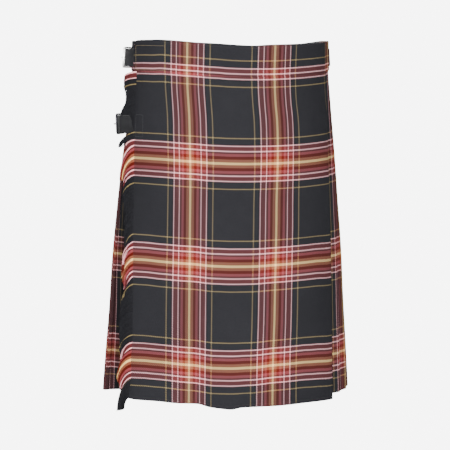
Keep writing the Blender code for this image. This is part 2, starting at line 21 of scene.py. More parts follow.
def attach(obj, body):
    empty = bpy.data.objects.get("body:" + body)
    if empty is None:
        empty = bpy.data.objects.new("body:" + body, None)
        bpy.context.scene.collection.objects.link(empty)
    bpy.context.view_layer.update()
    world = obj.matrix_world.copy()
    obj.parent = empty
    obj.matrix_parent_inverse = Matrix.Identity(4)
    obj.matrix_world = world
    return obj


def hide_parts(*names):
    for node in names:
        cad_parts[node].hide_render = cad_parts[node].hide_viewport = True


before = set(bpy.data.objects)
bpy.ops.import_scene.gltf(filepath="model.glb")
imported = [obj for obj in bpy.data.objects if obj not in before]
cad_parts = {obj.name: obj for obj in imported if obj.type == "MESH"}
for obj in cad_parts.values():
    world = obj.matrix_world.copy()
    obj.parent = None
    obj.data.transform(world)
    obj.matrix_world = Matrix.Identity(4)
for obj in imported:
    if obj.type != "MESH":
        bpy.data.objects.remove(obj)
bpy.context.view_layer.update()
MM = 0.001

# %% [markdown]
# ## Camera
#
# The kilt is seen from straight ahead, from waist height, tipped down a little so that the hem curves.
# A long lens some three metres away keeps its sides nearly parallel, as on a shop's page. The camera
# comes first, because everything after it is judged through it.

# %% Place the camera
CAMERA_PLACE = (-0.0095, -3.2, 0.0)
CAMERA_DOWN = math.radians(5.69)
CAMERA_LENS = 148.0


def add_object(name, data):
    """A new object in the scene that shows this data."""
    made = bpy.data.objects.new(name, data)
    bpy.context.scene.collection.objects.link(made)
    return made


camera_data = bpy.data.cameras.new("front_camera")
camera_data.lens = CAMERA_LENS
camera_data.sensor_width = 36.0
camera = add_object("front_camera", camera_data)
camera.location = CAMERA_PLACE
camera.rotation_euler = (math.radians(90) - CAMERA_DOWN, 0, 0)
bpy.context.scene.camera = camera
print("camera", CAMERA_PLACE, "lens", CAMERA_LENS)

# %% [markdown]
# ## The rule behind the cloth
#
# Everything on the kilt is measured from one envelope: an oval at each drop below the waist. A place
# on it is a station q and a depth inside it. Whole numbers of q are the pleats' fold edges, then the
# fringed edge of the apron, then points across the apron. The tables are the CAD model's own, in
# millimetres. Here they are read along smooth curves instead of straight runs, so the cloth has no
# corners between its rings.

# %% The kilt's sizes
SETT = 146.4                 # one repeat of the check across the cloth
SETT_DOWN = 172.5            # and down it
PLEAT_CLOTH = 152.4          # cloth in one pleat
APRON_WIDTH = 381
HALF_APRON = APRON_WIDTH / 2
PLEATS = 24
HEM_DROP = 605
CLOTH_WALL = 1.0             # the solids' wall; the twill itself is thinner
TWILL = 0.7
BAND_HEIGHT = 51
BAND_WALL = 1.2
SEAM = 0.3

OVAL = (
    # drop  left  right  front  back  dip_front  dip_back
    (0, 167.5, 168.5, 116, 117, 9.6, 12.5),
    (51, 169.0, 170.0, 121, 122, 8.6, 11.0),
    (125, 174.5, 177.0, 129, 134, 7.0, 8.0),
    (200, 181.0, 187.5, 137, 147, 5.4, 5.0),
    (330, 190.5, 201.5, 147, 158, 3.4, 3.0),
    (470, 197.5, 211.0, 155, 168, 1.6, 1.0),
    (605, 206.0, 224.0, 163, 178, 0.0, 0.0),
)
PLEATING = (
    # drop  pitch  gap  last_face  swing
    (0, 2.6, 13.0, 21.0, 0),
    (51, 2.6, 13.0, 21.0, 0),
    (125, 2.6, 13.0, 24.0, 0),
    (200, 2.6, 14.0, 27.0, 4),
    (330, 3.4, 20.0, 33.0, 16),
    (470, 4.6, 28.0, 39.0, 30),
    (605, 6.0, 36.0, 45.0, 42),
)
UNDER = (
    # drop  behind_apron  behind_folds
    (0, 7.2, 12.4),
    (51, 7.2, 12.4),
    (125, 5.2, 10.4),
    (200, 5.0, 10.2),
    (330, 5.2, 12.4),
    (470, 6.0, 11.4),
    (605, 7.0, 14.4),
)
DIP_TURN = math.radians(10)  # the front dips most this far towards the wearer's left
DIP_EASE = 0.25
APRON_EVEN = 12
APRON_TUCKED = 3
APRON_STEPS = APRON_EVEN + APRON_TUCKED
EDGE = PLEATS + 1
UNDER_DEEP = PLEATS + 0.5
TURN = EDGE + APRON_STEPS
APRON_CORNER_LIFT = 4
APRON_CORNER_SHARE = 0.3
APRON_FRONT_DROP = 4
PLEATS_HEM_LIFT = 5
LOW_PLEAT = 21.5             # the pleats hang lowest here, and this many stations to each side
LOW_PLEAT_REACH = 2.1
LAST_PLEATS_DROP = 11
print("cloth in the pleats:", PLEATS * PLEAT_CLOTH / 1000, "m")

# %% [markdown]
# A cubic through the table's rows, with each row's slope taken from its neighbours, is the usual way
# to turn a short table into a curve.


# %% Read a table along a smooth curve
def clamp(value, low, high):
    return min(max(value, low), high)


def row_before(places, place):
    """Which of these places is the last one not past this place. It is never the very last of them."""
    return max(0, min(bisect.bisect_right(places, place), len(places) - 1) - 1)


def slope(rows, i, column):
    before = rows[max(i - 1, 0)]
    after = rows[min(i + 1, len(rows) - 1)]
    return (after[column] - before[column]) / (after[0] - before[0])


def along_table(rows, place, column):
    """The column's value at a place, on a smooth curve through the rows."""
    place = clamp(place, rows[0][0], rows[-1][0])
    i = row_before([row[0] for row in rows], place)
    low = rows[i]
    high = rows[i + 1]
    span = high[0] - low[0]
    t = (place - low[0]) / span
    value = low[column] * (2 * t**3 - 3 * t**2 + 1) + high[column] * (3 * t**2 - 2 * t**3)
    value += slope(rows, i, column) * span * (t**3 - 2 * t**2 + t)
    return value + slope(rows, i + 1, column) * span * (t**3 - t**2)


def table_row(rows, place):
    """Every column's value at a place, but the first's."""
    return [along_table(rows, place, column) for column in range(1, len(rows[0]))]


print("pitch at the hem:", along_table(PLEATING, HEM_DROP, 1), "mm")

# %% [markdown]
# ## Creases
#
# Worn cloth is never a perfect oval. The apron has a few long soft troughs that widen and fade
# downwards, none alike, and the pleats roll gently. Each crease here is a row: where it lies across
# the cloth, where it starts and ends, how wide it is and how far it pushes the cloth in or out. All
# the layers move together, so none of them cross.

# %% The main creases, placed one by one
CREASES = (
    # station  from_drop  to_drop  half_width (stations)  push (mm, out is plus)
    (26.6, 60, 330, 0.9, -1.1),
    (28.4, 300, 640, 1.3, 1.6),
    (30.2, 55, 240, 0.8, 0.9),
    (31.7, 380, 640, 1.6, -1.5),
    (33.4, 70, 420, 1.1, -1.0),
    (35.0, 240, 640, 1.2, 1.8),
    (36.9, 60, 300, 0.7, -0.8),
    (38.3, 420, 640, 0.9, -1.4),
    (2.2, 260, 640, 1.6, 2.0),
    (6.0, 330, 640, 1.9, -2.2),
    (9.5, 220, 640, 1.5, 2.4),
    (13.1, 380, 640, 1.8, -1.8),
    (16.8, 250, 640, 1.7, 2.2),
    (19.2, 340, 640, 1.2, -1.4),
    (22.2, 290, 640, 1.5, 1.8),
)
EASE = 0.35                  # share of a crease's length over which it comes and goes


def smooth(share):
    """Eases a share from 0 to 1 in and out."""
    return share * share * (3 - 2 * share)


def crease_push(q, drop):
    """How far the creases move the cloth out at a place, in mm."""
    total = 0.0
    for station, top, bottom, half_width, push in CREASES:
        away = abs((q - station + TURN / 2) % TURN - TURN / 2) / half_width
        if away >= 2 or not top < drop < bottom:
            continue
        grown = min(1.0, (drop - top) / (EASE * (bottom - top)))
        faded = min(1.0, (bottom - drop) / (EASE * (bottom - top)))
        total += push * math.exp(-(away**2)) * smooth(min(grown, faded))
    return total


print("creases:", len(CREASES))

# %% [markdown]
# ## One ring of the cloth
#
# At each drop the class below walks once round the oval and marks the stations. place() then gives
# the point at a station and a depth, and every layer of cloth is drawn with it.


# %% The ring of stations at one drop
class Ring:
    STEPS = 720

    def __init__(self, drop):
        self.drop = drop
        row = table_row(OVAL, drop)
        self.half_left, self.half_right, self.half_front, self.half_back = row[:4]
        self.dip_front, self.dip_back = row[4:]
        self.walk()
        self.pitch, gap, self.last, swing = table_row(PLEATING, drop)
        self.face = (self.girth - APRON_WIDTH - gap - self.last) / (PLEATS - 1)
        marks = [HALF_APRON + i * self.face for i in range(PLEATS)]
        marks += [marks[-1] + self.last, self.girth - HALF_APRON]
        even = (APRON_WIDTH - APRON_TUCKED * self.face) / APRON_EVEN
        marks += [marks[EDGE] + step * even for step in range(1, APRON_EVEN + 1)]
        marks += [marks[-1] + step * self.face for step in range(1, APRON_TUCKED)]
        marks.append(self.girth + HALF_APRON)
        self.marks = marks
        self.corners = [self.walked(mark)[0] for mark in marks[:-1]]
        swing = math.radians(swing)
        hinge = self.corners[PLEATS - 1]
        face = self.corners[PLEATS] - hinge
        across = face.x * math.cos(swing) - face.y * math.sin(swing)
        along = face.x * math.sin(swing) + face.y * math.cos(swing)
        self.corners[PLEATS] = hinge + Vector((across, along))
        self.normals = [self.mitre(i) for i in range(TURN)]
        self.tip = (PLEAT_CLOTH - self.face) / (2 * self.face)
        self.short = self.pitch / 4 / self.face

    def walk(self):
        """Points round the oval from the front's middle, the wearer's left first, and their distances."""
        self.points = []
        for i in range(self.STEPS + 1):
            turn = 2 * math.pi * i / self.STEPS
            across = math.sin(turn)
            along = math.cos(turn)
            half_width = self.half_left if across >= 0 else self.half_right
            half_depth = self.half_front if along >= 0 else self.half_back
            self.points.append(Vector((half_width * across, -half_depth * along)))
        steps = [(b - a).length for a, b in zip(self.points, self.points[1:])]
        self.distances = list(itertools.accumulate(steps, initial=0.0))
        self.girth = self.distances[-1]

    def walked(self, length):
        """(point, turn) this far round."""
        length %= self.girth
        low = min(bisect.bisect_right(self.distances, length), self.STEPS) - 1
        share = (length - self.distances[low]) / (self.distances[low + 1] - self.distances[low])
        point = self.points[low].lerp(self.points[low + 1], share)
        return point, 2 * math.pi * (low + share) / self.STEPS

    def mitre(self, i):
        """The outward direction at a station, long enough to keep layers parallel on both sides."""
        before = (self.corners[i] - self.corners[i - 1]).normalized()
        after = (self.corners[(i + 1) % TURN] - self.corners[i]).normalized()
        out_before = Vector((before.y, -before.x))
        out_after = Vector((after.y, -after.x))
        middle = (out_before + out_after).normalized()
        return middle / middle.dot(out_after)

    def length_at(self, q):
        q %= TURN
        i = int(q)
        return self.marks[i] + (self.marks[i + 1] - self.marks[i]) * (q - i)

    def dip(self, turn):
        along = math.cos(turn)
        if along < 0:
            return self.dip_back * along**2
        return self.dip_front * math.cos(turn - DIP_TURN) ** 2 * min(1.0, along / DIP_EASE)

    def place(self, q, depth, lower=0.0):
        """The point at station q, this deep inside the envelope, moved down by lower, in metres."""
        q %= TURN
        i = int(math.floor(q + 1e-9))
        share = q - i
        j = (i + 1) % TURN
        out = self.normals[i].lerp(self.normals[j], share)
        plan, turn = self.walked(self.length_at(q))
        if PLEATS - 1 < q < EDGE:
            plan = self.corners[i].lerp(self.corners[j], share)
        spot = plan - out * (depth - crease_push(q, self.drop))
        return Vector((spot.x, spot.y, -self.drop - self.dip(turn) - lower)) * MM


def even_steps(start, end, count):
    """The places that cut a run into this many even parts, with both its ends."""
    return [start + (end - start) * k / count for k in range(count + 1)]


ring_at = functools.cache(Ring)      # a ring that is asked for again isn't made again
ROWS = 62
TOP_DROP = 2.2
rings = [ring_at(drop) for drop in even_steps(TOP_DROP, HEM_DROP, ROWS - 1)]
print("rings:", len(rings), "girth at the hem:", round(rings[-1].girth), "mm")

# %% [markdown]
# ## Folding the cloth
#
# A layer is a list of (station, depth, place in the cloth). A knife pleat has an outer layer, which
# runs from its inner fold out to its fold edge, and a return layer that runs back underneath. At each
# fold the cloth makes a tight half round instead of a sharp corner, because twill never creases to
# nothing. The third number says where in the woven check each point is, so the stripes bend, fold and
# vanish into the pleats as the real ones do.

# %% Layers and folds
FACE_STEPS = 5
INNER_STEPS = 8
RETURN_STEPS = 7
FOLD_STEPS = 4
MID_WALL = CLOTH_WALL / 2


def layer_depth(ring, pleat, q):
    return ring.pitch * max(0, pleat - clamp(q, 0, PLEATS)) + MID_WALL


BENT_FOLD = PLEATS - 1       # the fold where the last face bends forward
BENT_FOLD_PAST = 0.065       # stations that this fold reaches round the bend, at the hem
BENT_FOLD_CLEAR = 0.02


def fold_past(ring, pleat):
    """How far a fold edge lies past its station, in stations."""
    if pleat != BENT_FOLD:
        return 0
    share = along_table(PLEATING, ring.drop, 4) / PLEATING[-1][4]
    return ring.short + BENT_FOLD_CLEAR + BENT_FOLD_PAST * share


def fold_turn(ring, q, depth, u, way):
    """A half round of cloth at a fold: way 1 turns back at a fold edge, -1 at an inner fold."""
    half = ring.pitch / 4
    points = []
    for k in range(1, FOLD_STEPS):
        turn = math.pi * k / FOLD_STEPS
        reach = way * half * (math.sin(turn) - 1) / ring.face
        points.append((q + reach, depth + half * (1 - math.cos(turn)), u))
    return points


def outer_layer(ring, pleat, u_fold):
    """From a pleat's inner fold to just short of its fold edge."""
    past = fold_past(ring, pleat)
    backs = even_steps(ring.tip + 1 - ring.short, 1, INNER_STEPS)[:-1]
    backs += even_steps(1, ring.short, FACE_STEPS)[:-1]
    backs += [0, ring.short - past] if past else [ring.short]
    width = ring.last if pleat == PLEATS else ring.face
    points = []
    for back in backs:
        q = pleat - back
        u = u_fold - (min(back, 1) + past) * width - max(back - 1, 0) * ring.face
        points.append((q, layer_depth(ring, pleat, q), u))
    return points


def return_layer(ring, pleat, u_fold):
    """From just inside a fold edge back to the inner fold."""
    past = fold_past(ring, pleat)
    backs = [ring.short - past, 0] if past else [ring.short]
    backs += even_steps(ring.short, ring.tip - ring.short, RETURN_STEPS)[1:]
    points = []
    for back in backs:
        q = pleat - back
        points.append((q, ring.pitch / 2 + layer_depth(ring, pleat, q), u_fold + (back + past) * ring.face))
    return points


# Every pleat is folded at the same place in the check, so each face shows the same stripes. The first
# two carry the front's check on. The last three are folded so that together they show one whole band.
FOLD_U = SETT / 2 + SETT + 17
ODD_FOLDS_U = {1: 197.5, 2: 224.0, PLEATS - 2: 243.1, PLEATS - 1: 237.6, PLEATS: 279.1}


def fold_u(pleat):
    return ODD_FOLDS_U.get(pleat, FOLD_U)


print("pleats are folded", FOLD_U - SETT, "mm from the middle of a square")

# %% [markdown]
# The whole kilt is three runs of such layers: the over apron with the first hidden fold at its far
# side, the pleats, and the under apron that slips in beneath everything.


# %% The run of the pleats
def pleats_path(first, last):
    def path(ring):
        points = []
        for pleat in range(first, last + 1):
            u = fold_u(pleat)
            points += outer_layer(ring, pleat, u)
            points += fold_turn(ring, pleat + fold_past(ring, pleat), MID_WALL, u, 1)
            points += return_layer(ring, pleat, u)
            if pleat < last:
                inner = pleat - ring.tip
                depth = ring.pitch / 2 + layer_depth(ring, pleat, inner)
                points += fold_turn(ring, inner, depth, u + ring.tip * ring.face, -1)
        return points

    return path


print("points round a ring of pleats:", len(pleats_path(1, 6)(rings[0])))

# %% [markdown]
# The check isn't quite square on the front. The weave is pulled a little out of true by the wearer's
# shape and by hanging. Each row below gives, at one drop, how far it is pulled across at the two bright
# bands, or up or down at places across, in mm.

# %% How the check lies on the aprons
APRON_CHECK = (
    # cloth, check: where the check's own measure lies on the apron, both in mm from the middle
    (-190.5, -177.0), (-108.4, -112.2), (-68.6, -73.2), (-30.4, -34.2), (37.9, 34.2), (76.5, 73.2),
    (116.0, 112.2), (190.5, 178.4),
)
PULL_PLACES = (-190, -145, -120, -68, -25, 0, 30, 77, 127, 152, 190)
PULL_DOWN = (
    # drop  at each place across, from the fringed edge to the fold
    (31, 0.4, 2.0, 3.8, 3.1, 1.8, 0.5, -0.2, -0.7, -0.7, -0.7, -1.0),
    (198, 1.8, 3.0, 3.5, 2.8, 1.0, 0.5, 0.3, 0.3, 0.2, 0.5, 0.8),
    (370, 3.4, 5.0, 4.5, 3.5, 0.8, 0.2, 0.3, 1.8, 2.6, 2.8, 1.0),
    (540, 5.0, 7.4, 7.8, 5.6, 1.2, 1.0, 2.3, 5.3, 5.8, 4.5, 1.8),
)
PULL_BANDS = (-68.6, 76.5, 190)
PULL_ACROSS = (
    # drop  left band  right band  fold
    (14, 4.6, 2.2, 3.6),
    (71, 4.6, 1.6, 3.6),
    (98, 2.7, 0.2, 1.0),
    (124, 1.0, -2.2, -4.0),
    (154, 0.3, -3.3, -6.0),
    (205, -0.7, -3.2, -6.0),
    (256, -0.5, -1.4, -6.0),
    (306, 0.0, -0.6, -6.0),
    (362, 0.4, 0.7, -6.0),
    (418, 1.0, 1.9, -6.0),
    (467, 1.5, 2.9, -6.0),
    (527, 1.6, 5.2, -6.0),
    (593, 1.9, 6.0, -6.0),
)


def check_across(cloth):
    """The check's measure at a place across the apron, read straight between the table's rows."""
    i = row_before([row[0] for row in APRON_CHECK], cloth)
    low, high = APRON_CHECK[i : i + 2]
    return low[1] + (high[1] - low[1]) * (cloth - low[0]) / (high[0] - low[0])


def between(low, high, share):
    return low + (high - low) * share


def pulled_across(cloth, drop):
    i = 1 if cloth > PULL_BANDS[1] else 0
    share = clamp((cloth - PULL_BANDS[i]) / (PULL_BANDS[i + 1] - PULL_BANDS[i]), 0, 1)
    return between(*table_row(PULL_ACROSS, drop)[i : i + 2], share)


def pulled_down(cloth, drop):
    """The pull at a place: smooth down the cloth, and eased between the places across it."""
    cloth = clamp(cloth, PULL_PLACES[0], PULL_PLACES[-1])
    i = row_before(PULL_PLACES, cloth)
    share = smooth((cloth - PULL_PLACES[i]) / (PULL_PLACES[i + 1] - PULL_PLACES[i]))
    return between(*table_row(PULL_DOWN, drop)[i : i + 2], share)


def apron_weave(cloth, drop):
    """(u, v) of the check at a place across and down the front, in mm."""
    return check_across(cloth) + pulled_across(cloth, drop), drop + pulled_down(cloth, drop)


def from_apron_middle(ring, q):
    return ring.length_at(q) - ring.marks[EDGE] - HALF_APRON


print("check at the apron's fold:", apron_weave(HALF_APRON, 0))

# %% [markdown]
# An apron is one flat layer. The over apron runs from its raw edge to its fold and back underneath. The
# under apron slips in behind the last pleat, and eases out again behind the front.

# %% The runs of the aprons
APRON_FINE = 4               # points between two stations of an apron
APRON_FOLD_PAST = 0.22       # stations that the apron's fold reaches over the first pleat
RAW_EDGE = (
    # drop, stations in: threads have been drawn out of the fringed edge, so it lies a little further in
    (150, 0.0), (190, 0.12), (260, 0.24), (500, 0.3), (540, 0.2), (560, 0.26), (590, 0.12),
    (605, 0.02),
)


def raw_edge(drop):
    """The station of the apron's fringed edge."""
    return EDGE + along_table(RAW_EDGE, drop, 1)


def over_apron_path(ring):
    points = []
    start = raw_edge(ring.drop)
    for k in range(APRON_STEPS * APRON_FINE):
        q = max(EDGE + k / APRON_FINE, start + (EDGE + 1 - start) * k / APRON_FINE)
        points.append((q, MID_WALL, from_apron_middle(ring, q)))
    fold = TURN + APRON_FOLD_PAST
    edge_u = HALF_APRON + APRON_FOLD_PAST * ring.face
    points.append((TURN, MID_WALL, HALF_APRON))
    points.append((fold - ring.short, MID_WALL, edge_u))
    points += fold_turn(ring, fold, MID_WALL, edge_u, 1)
    for back in even_steps(ring.short, ring.tip + APRON_FOLD_PAST - ring.short, RETURN_STEPS):
        points.append((fold - back, ring.pitch / 2 + MID_WALL, edge_u + back * ring.face))
    return points


def under_depth(ring, q):
    behind_apron, behind_folds = table_row(UNDER, ring.drop)
    if q <= PLEATS:
        return ring.pitch * (PLEATS + 1 - q) + MID_WALL
    if q <= UNDER_DEEP:
        share = (q - PLEATS) / (UNDER_DEEP - PLEATS)
        return between(ring.pitch, behind_apron, share) + MID_WALL
    share = clamp(q - (TURN - APRON_TUCKED - 1), 0, 1)
    return between(behind_apron, behind_folds, share) + MID_WALL


def under_apron_path(ring):
    points = outer_layer(ring, PLEATS + 1, 0)[: -FACE_STEPS - 1]
    points = [(q, depth, from_apron_middle(ring, q)) for q, depth, _ in points]
    for q in even_steps(PLEATS, TURN - 1, (TURN - 1 - PLEATS) * APRON_FINE):
        points.append((q, under_depth(ring, q), from_apron_middle(ring, q)))
    return points


print("points round a ring of the over apron:", len(over_apron_path(rings[0])))

# %% [markdown]
# The hem isn't level. Each function gives how far the cloth at a station hangs below the plain hem.

# %% The hems
HEM_TRIM = (
    # station, mm up: no hand-cut hem is level all the way across
    (25.0, 0.4), (25.8, 0.8), (26.6, 2.4), (27.9, 4.4), (29.1, 4.6), (30.3, 5.6), (30.9, 5.0),
    (31.5, 0.9), (32.6, -2.4), (33.2, -3.2), (33.8, -0.2), (34.9, 0.9), (36.7, 0.9), (38.2, 1.7),
    (40.0, 0.3),
)


def over_apron_hem(q):
    across = clamp((q - EDGE) / APRON_STEPS, 0, 1)
    corner = APRON_CORNER_LIFT * max(0.0, 1 - across / APRON_CORNER_SHARE)
    return APRON_FRONT_DROP - corner - along_table(HEM_TRIM, q, 1)


def pleats_hem(q):
    """The pleats hang a little higher than the aprons, but not at the last few, on the wearer's right."""
    return LAST_PLEATS_DROP * clamp(1 - abs(q - LOW_PLEAT) / LOW_PLEAT_REACH, 0, 1) - PLEATS_HEM_LIFT


print("hem at the fringed edge, in mm below the plain hem:", over_apron_hem(EDGE))

# %% [markdown]
# ## From rings to a sheet
#
# Joining ring to ring gives a grid of quads. A UV map holds the cloth's own measure, in metres across
# and down the weave, so any pattern on it follows the cloth. Solidify then gives the twill its
# thickness, and it is applied so that the piece is a plain mesh.

# %% Weave a grid into a sheet
HEM_SHARE = 0.12             # the hem's own drop eases in over this share of the height


def hem_ease(drop):
    return clamp((drop / HEM_DROP - 1 + HEM_SHARE) / HEM_SHARE, 0, 1)


def add_mesh(name, points, edges=(), faces=()):
    mesh = bpy.data.meshes.new(name)
    mesh.from_pydata(points, edges, faces)
    return add_object(name, mesh)


def keep_on_points(mesh, name, values):
    """Keeps a number or a vector for every point of a mesh."""
    if isinstance(values[0], Vector):
        values = [x for value in values for x in value]
        mesh.attributes.new(name, "FLOAT_VECTOR", "POINT").data.foreach_set("vector", values)
    else:
        mesh.attributes.new(name, "FLOAT", "POINT").data.foreach_set("value", values)


def grid_object(name, rows, weave, thickness, painted_shades=()):
    """A sheet through rows of points, with weave[row][column] = (u, v) in mm as its UV map."""
    count = len(rows[0])
    faces = []
    for r in range(len(rows) - 1):
        for c in range(count - 1):
            here = r * count + c
            faces.append((here, here + count, here + count + 1, here + 1))
    made = add_mesh(name, [point for row in rows for point in row], faces=faces)
    mesh = made.data
    layer = mesh.uv_layers.new(name="weave")
    flat = [spot for row in weave for spot in row]
    for loop in mesh.loops:
        u, v = flat[loop.vertex_index]
        layer.data[loop.index].uv = (u * MM, v * MM)
    if painted_shades:
        keep_on_points(mesh, "painted_shade", painted_shades)
    mesh.shade_smooth()
    wall = made.modifiers.new("wall", "SOLIDIFY")
    wall.thickness = thickness * MM
    wall.offset = 0.0
    bake_modifiers(made)
    print(name, len(made.data.polygons), "faces")
    return made


SHARP_OVER = math.radians(60)


def bake_modifiers(made):
    """Turns what the modifiers make into the object's own mesh, with its sharp edges kept sharp."""
    graph = bpy.context.evaluated_depsgraph_get()
    shown = made.evaluated_get(graph)
    baked = bpy.data.meshes.new_from_object(shown, preserve_all_data_layers=True, depsgraph=graph)
    baked.set_sharp_from_angle(angle=SHARP_OVER)
    old = made.data
    made.modifiers.clear()
    made.data = baked
    bpy.data.meshes.remove(old)
    baked.name = made.name


# %% [markdown]
# Each run is now laid on every ring, and its place in the check goes with it.

# %% Cloth from its runs
PLEATS_PULL = (
    # drop, mm up: the pleats' check rides up as they open towards the hem
    (0, 0), (150, 1), (250, 3), (355, 6.5), (515, 10.5), (605, 12.5),
)


def pleats_weave(u, drop):
    return u, drop + along_table(PLEATS_PULL, drop, 1)


def cloth_piece(name, path, lower_hem, woven, painted_shade=None):
    """A sheet along the path on every ring. woven turns a place on the cloth into the check's (u, v)."""
    rows = []
    weave = []
    painted_shades = []
    for ring in rings:
        ease = hem_ease(ring.drop)
        points = path(ring)
        rows.append([ring.place(q, depth, lower_hem(q) * ease) for q, depth, _ in points])
        weave.append([woven(u, ring.drop + lower_hem(q) * ease) for q, _, u in points])
        painted_shades += [painted_shade(ring, q) if painted_shade else 0.0 for q, _, _ in points]
    return grid_object(name, rows, weave, TWILL, painted_shades)


# Painted shade: the last pleat's face is darkened in its colour, most near its own fold, where it lies in
# the recess behind the fringe.
RECESS_PAINTED_SHADE = (
    # drop  beside the pleat before  at its own fold, close to the fringe
    (150, 0.0, 0.3),
    (240, 0.15, 0.6),
    (330, 0.35, 0.85),
    (605, 0.35, 0.93),
)
RECESS_DEEPENS = 1.3         # how fast the shade grows across the face, per station


def painted_recess_shade(ring, q):
    """How much painted shade darkens the last pleat's face, in the recess behind the fringe."""
    if q < PLEATS - 1:
        return 0.0
    share = clamp(RECESS_DEEPENS * (q - PLEATS + 1), 0, 1)
    return between(*table_row(RECESS_PAINTED_SHADE, ring.drop), share)


over_apron = cloth_piece("over_apron_cloth", over_apron_path, over_apron_hem, apron_weave)
under_apron = cloth_piece("under_apron_cloth", under_apron_path, pleats_hem, apron_weave)
PLEATS_A_PIECE = PLEATS // 4
pleat_pieces = []
for part in range(4):
    first = part * PLEATS_A_PIECE + 1
    path = pleats_path(first, first + PLEATS_A_PIECE - 1)
    pleat_pieces.append(cloth_piece(f"pleat_cloth_{part + 1}", path, pleats_hem, pleats_weave, painted_recess_shade))

# %% [markdown]
# ## The waistband
#
# The band is a strip of the same cloth folded over the top edge, with its own stretch of the check.
# Over the pleats it has to bridge a thick stack, so it is broad on top there. Its section is an
# upturned U with rounded shoulders, carried along the stations.

# %% Fold the waistband
BAND_PATTERN_SHIFT = 131.5   # puts the band's stripes where the maker cut them
BACK_BAND_U = 208.0          # where in the check the back strip begins, and how it is eased round the hips
BACK_BAND_STRETCH = 1.04
BAND_FACE_DROPS = (51, 50.2, 48.6, 44, 36, 27, 18, 10, 5, 2.6)
SHOULDER = 1.5
SHOULDER_STEPS = 4
SEAM_ROLL = 0.9              # the lower edge turns in by this much at the seam
SEAM_ROLL_FROM = 48.6
BAND_TWILL = BAND_WALL * 0.8
BAND_STEP = 0.25             # stations between two sections of a band

BAND_RISE = (
    # mm across from the middle, mm up: how far the front's top edge stands above the plain dip
    (-170, 1.0), (-142, 3.1), (-120, 5.4), (-92, 6.0), (-60, 5.2), (-20, 4.8), (15, 3.0), (40, 2.0),
    (62, 3.0), (90, 2.7), (118, 1.3), (138, 0.0), (170, -0.8),
)


def band_place(q, drop, depth):
    """A point of a band. The rise is all in the top of the strip, so its stripes stay where they are."""
    spot = ring_at(drop).place(q, depth)
    if q > EDGE:
        spot.z += along_table(BAND_RISE, spot.x / MM, 1) * (1 - drop / BAND_HEIGHT) ** 4 * MM
    return spot


def band_section(q, outer, inner):
    """(points, distances down the strip) at a station, from the outer seam over the top to the inner."""
    outer += BAND_WALL / 2
    inner += BAND_WALL / 2
    spots = []
    for drop in BAND_FACE_DROPS:
        share = clamp((drop - SEAM_ROLL_FROM) / (BAND_HEIGHT - SEAM_ROLL_FROM), 0, 1)
        spots.append((drop, outer + SEAM_ROLL * share**2))
    turns = [math.pi / 2 * k / SHOULDER_STEPS for k in range(SHOULDER_STEPS + 1)]
    over = [(SHOULDER * (1 - math.sin(a)) + BAND_WALL / 2, SHOULDER * (1 - math.cos(a))) for a in turns]
    spots += [(drop, outer + inward) for drop, inward in over]
    spots += [(drop, inner - inward) for drop, inward in reversed(over)]
    spots += [(drop, inner) for drop in reversed(BAND_FACE_DROPS)]
    points = [band_place(q, drop, depth) for drop, depth in spots]
    v = spots[0][0]
    strip = [v]
    for (drop_a, depth_a), (drop_b, depth_b) in zip(spots, spots[1:]):
        v -= math.hypot(drop_b - drop_a, depth_b - depth_a)
        strip.append(v)
    return points, strip


def front_strip(ring, q):
    """(u, v) that the weave has at a station of the front or the under band."""
    u, v = apron_weave(from_apron_middle(ring, q), ring.drop)
    return u, v - ring.drop


def back_strip(ring, q):
    return BACK_BAND_U + (ring.length_at(q) - HALF_APRON) * BACK_BAND_STRETCH, 0.0


def band_piece(name, stations, woven):
    rows = []
    weave = []
    reference = ring_at(BAND_HEIGHT / 2)
    for q, outer, inner in stations:
        points, strip = band_section(q, outer, inner)
        rows.append(points)
        u, pulled = woven(reference, q)
        weave.append([(u, v + pulled + BAND_PATTERN_SHIFT) for v in strip])
    return grid_object(name, rows, weave, BAND_TWILL)


def band_stations(start, end):
    return even_steps(start, end, max(1, round((end - start) / BAND_STEP)))


waist = ring_at(BAND_WALL)
OUTSIDE = -(SEAM + BAND_WALL)
SNUG = CLOTH_WALL + SEAM
BAND_GAP = 0.25              # mm between the front band's fold and each band beside it
seam_q = BAND_GAP / waist.face
BACK_BAND_PAST = 0.55        # stations that the back band reaches past the last pleat, to cover its fold
UNDER_BAND_PAST = 0.1        # and that the under band starts past it
stack_depth = waist.pitch * (waist.tip + 1) + CLOTH_WALL + SEAM
tucked_depth = waist.pitch * APRON_TUCKED + CLOTH_WALL + 2 * SEAM


def front_inner(q):
    tucked_from = TURN - APRON_TUCKED
    if q < tucked_from - 1:
        return SNUG
    if q < tucked_from:
        return between(SNUG, tucked_depth, q - tucked_from + 1)
    return between(tucked_depth, stack_depth, max(q - TURN + 1, 0))


front_rows = [(q, OUTSIDE, front_inner(q)) for q in band_stations(EDGE, TURN - seam_q)]
band_front = band_piece("band_front_cloth", front_rows, front_strip)
back_rows = [(q, OUTSIDE, stack_depth) for q in band_stations(seam_q, PLEATS + BACK_BAND_PAST)]
band_back = band_piece("band_back_cloth", back_rows, back_strip)
under_rows = []
for q in band_stations(PLEATS + UNDER_BAND_PAST, TURN - 1):
    depth = under_depth(waist, q) - MID_WALL
    under_rows.append((q, depth + OUTSIDE, depth + SNUG))
band_under = band_piece("band_under_cloth", under_rows, front_strip)

# %% [markdown]
# ## The check
#
# A tartan is two rows of coloured threads, one down and one across, woven over two and under two.
# Each crossing shows about half of each, so a stripe is at full strength only where it meets itself. The
# stripes are symmetrical about a cream line, so one short table of distances from that line is enough
# for both directions. The group below turns the cloth's own measure into a warp colour and a weft
# colour, and the twill decides which is on top.

# %% Colours of the yarns
def linear(red, green, blue):
    """A screen colour as the linear values that shaders use."""
    values = []
    for value in (red, green, blue):
        value /= 255
        values.append(value / 12.92 if value <= 0.04045 else ((value + 0.055) / 1.055) ** 2.4)
    return (*values, 1.0)


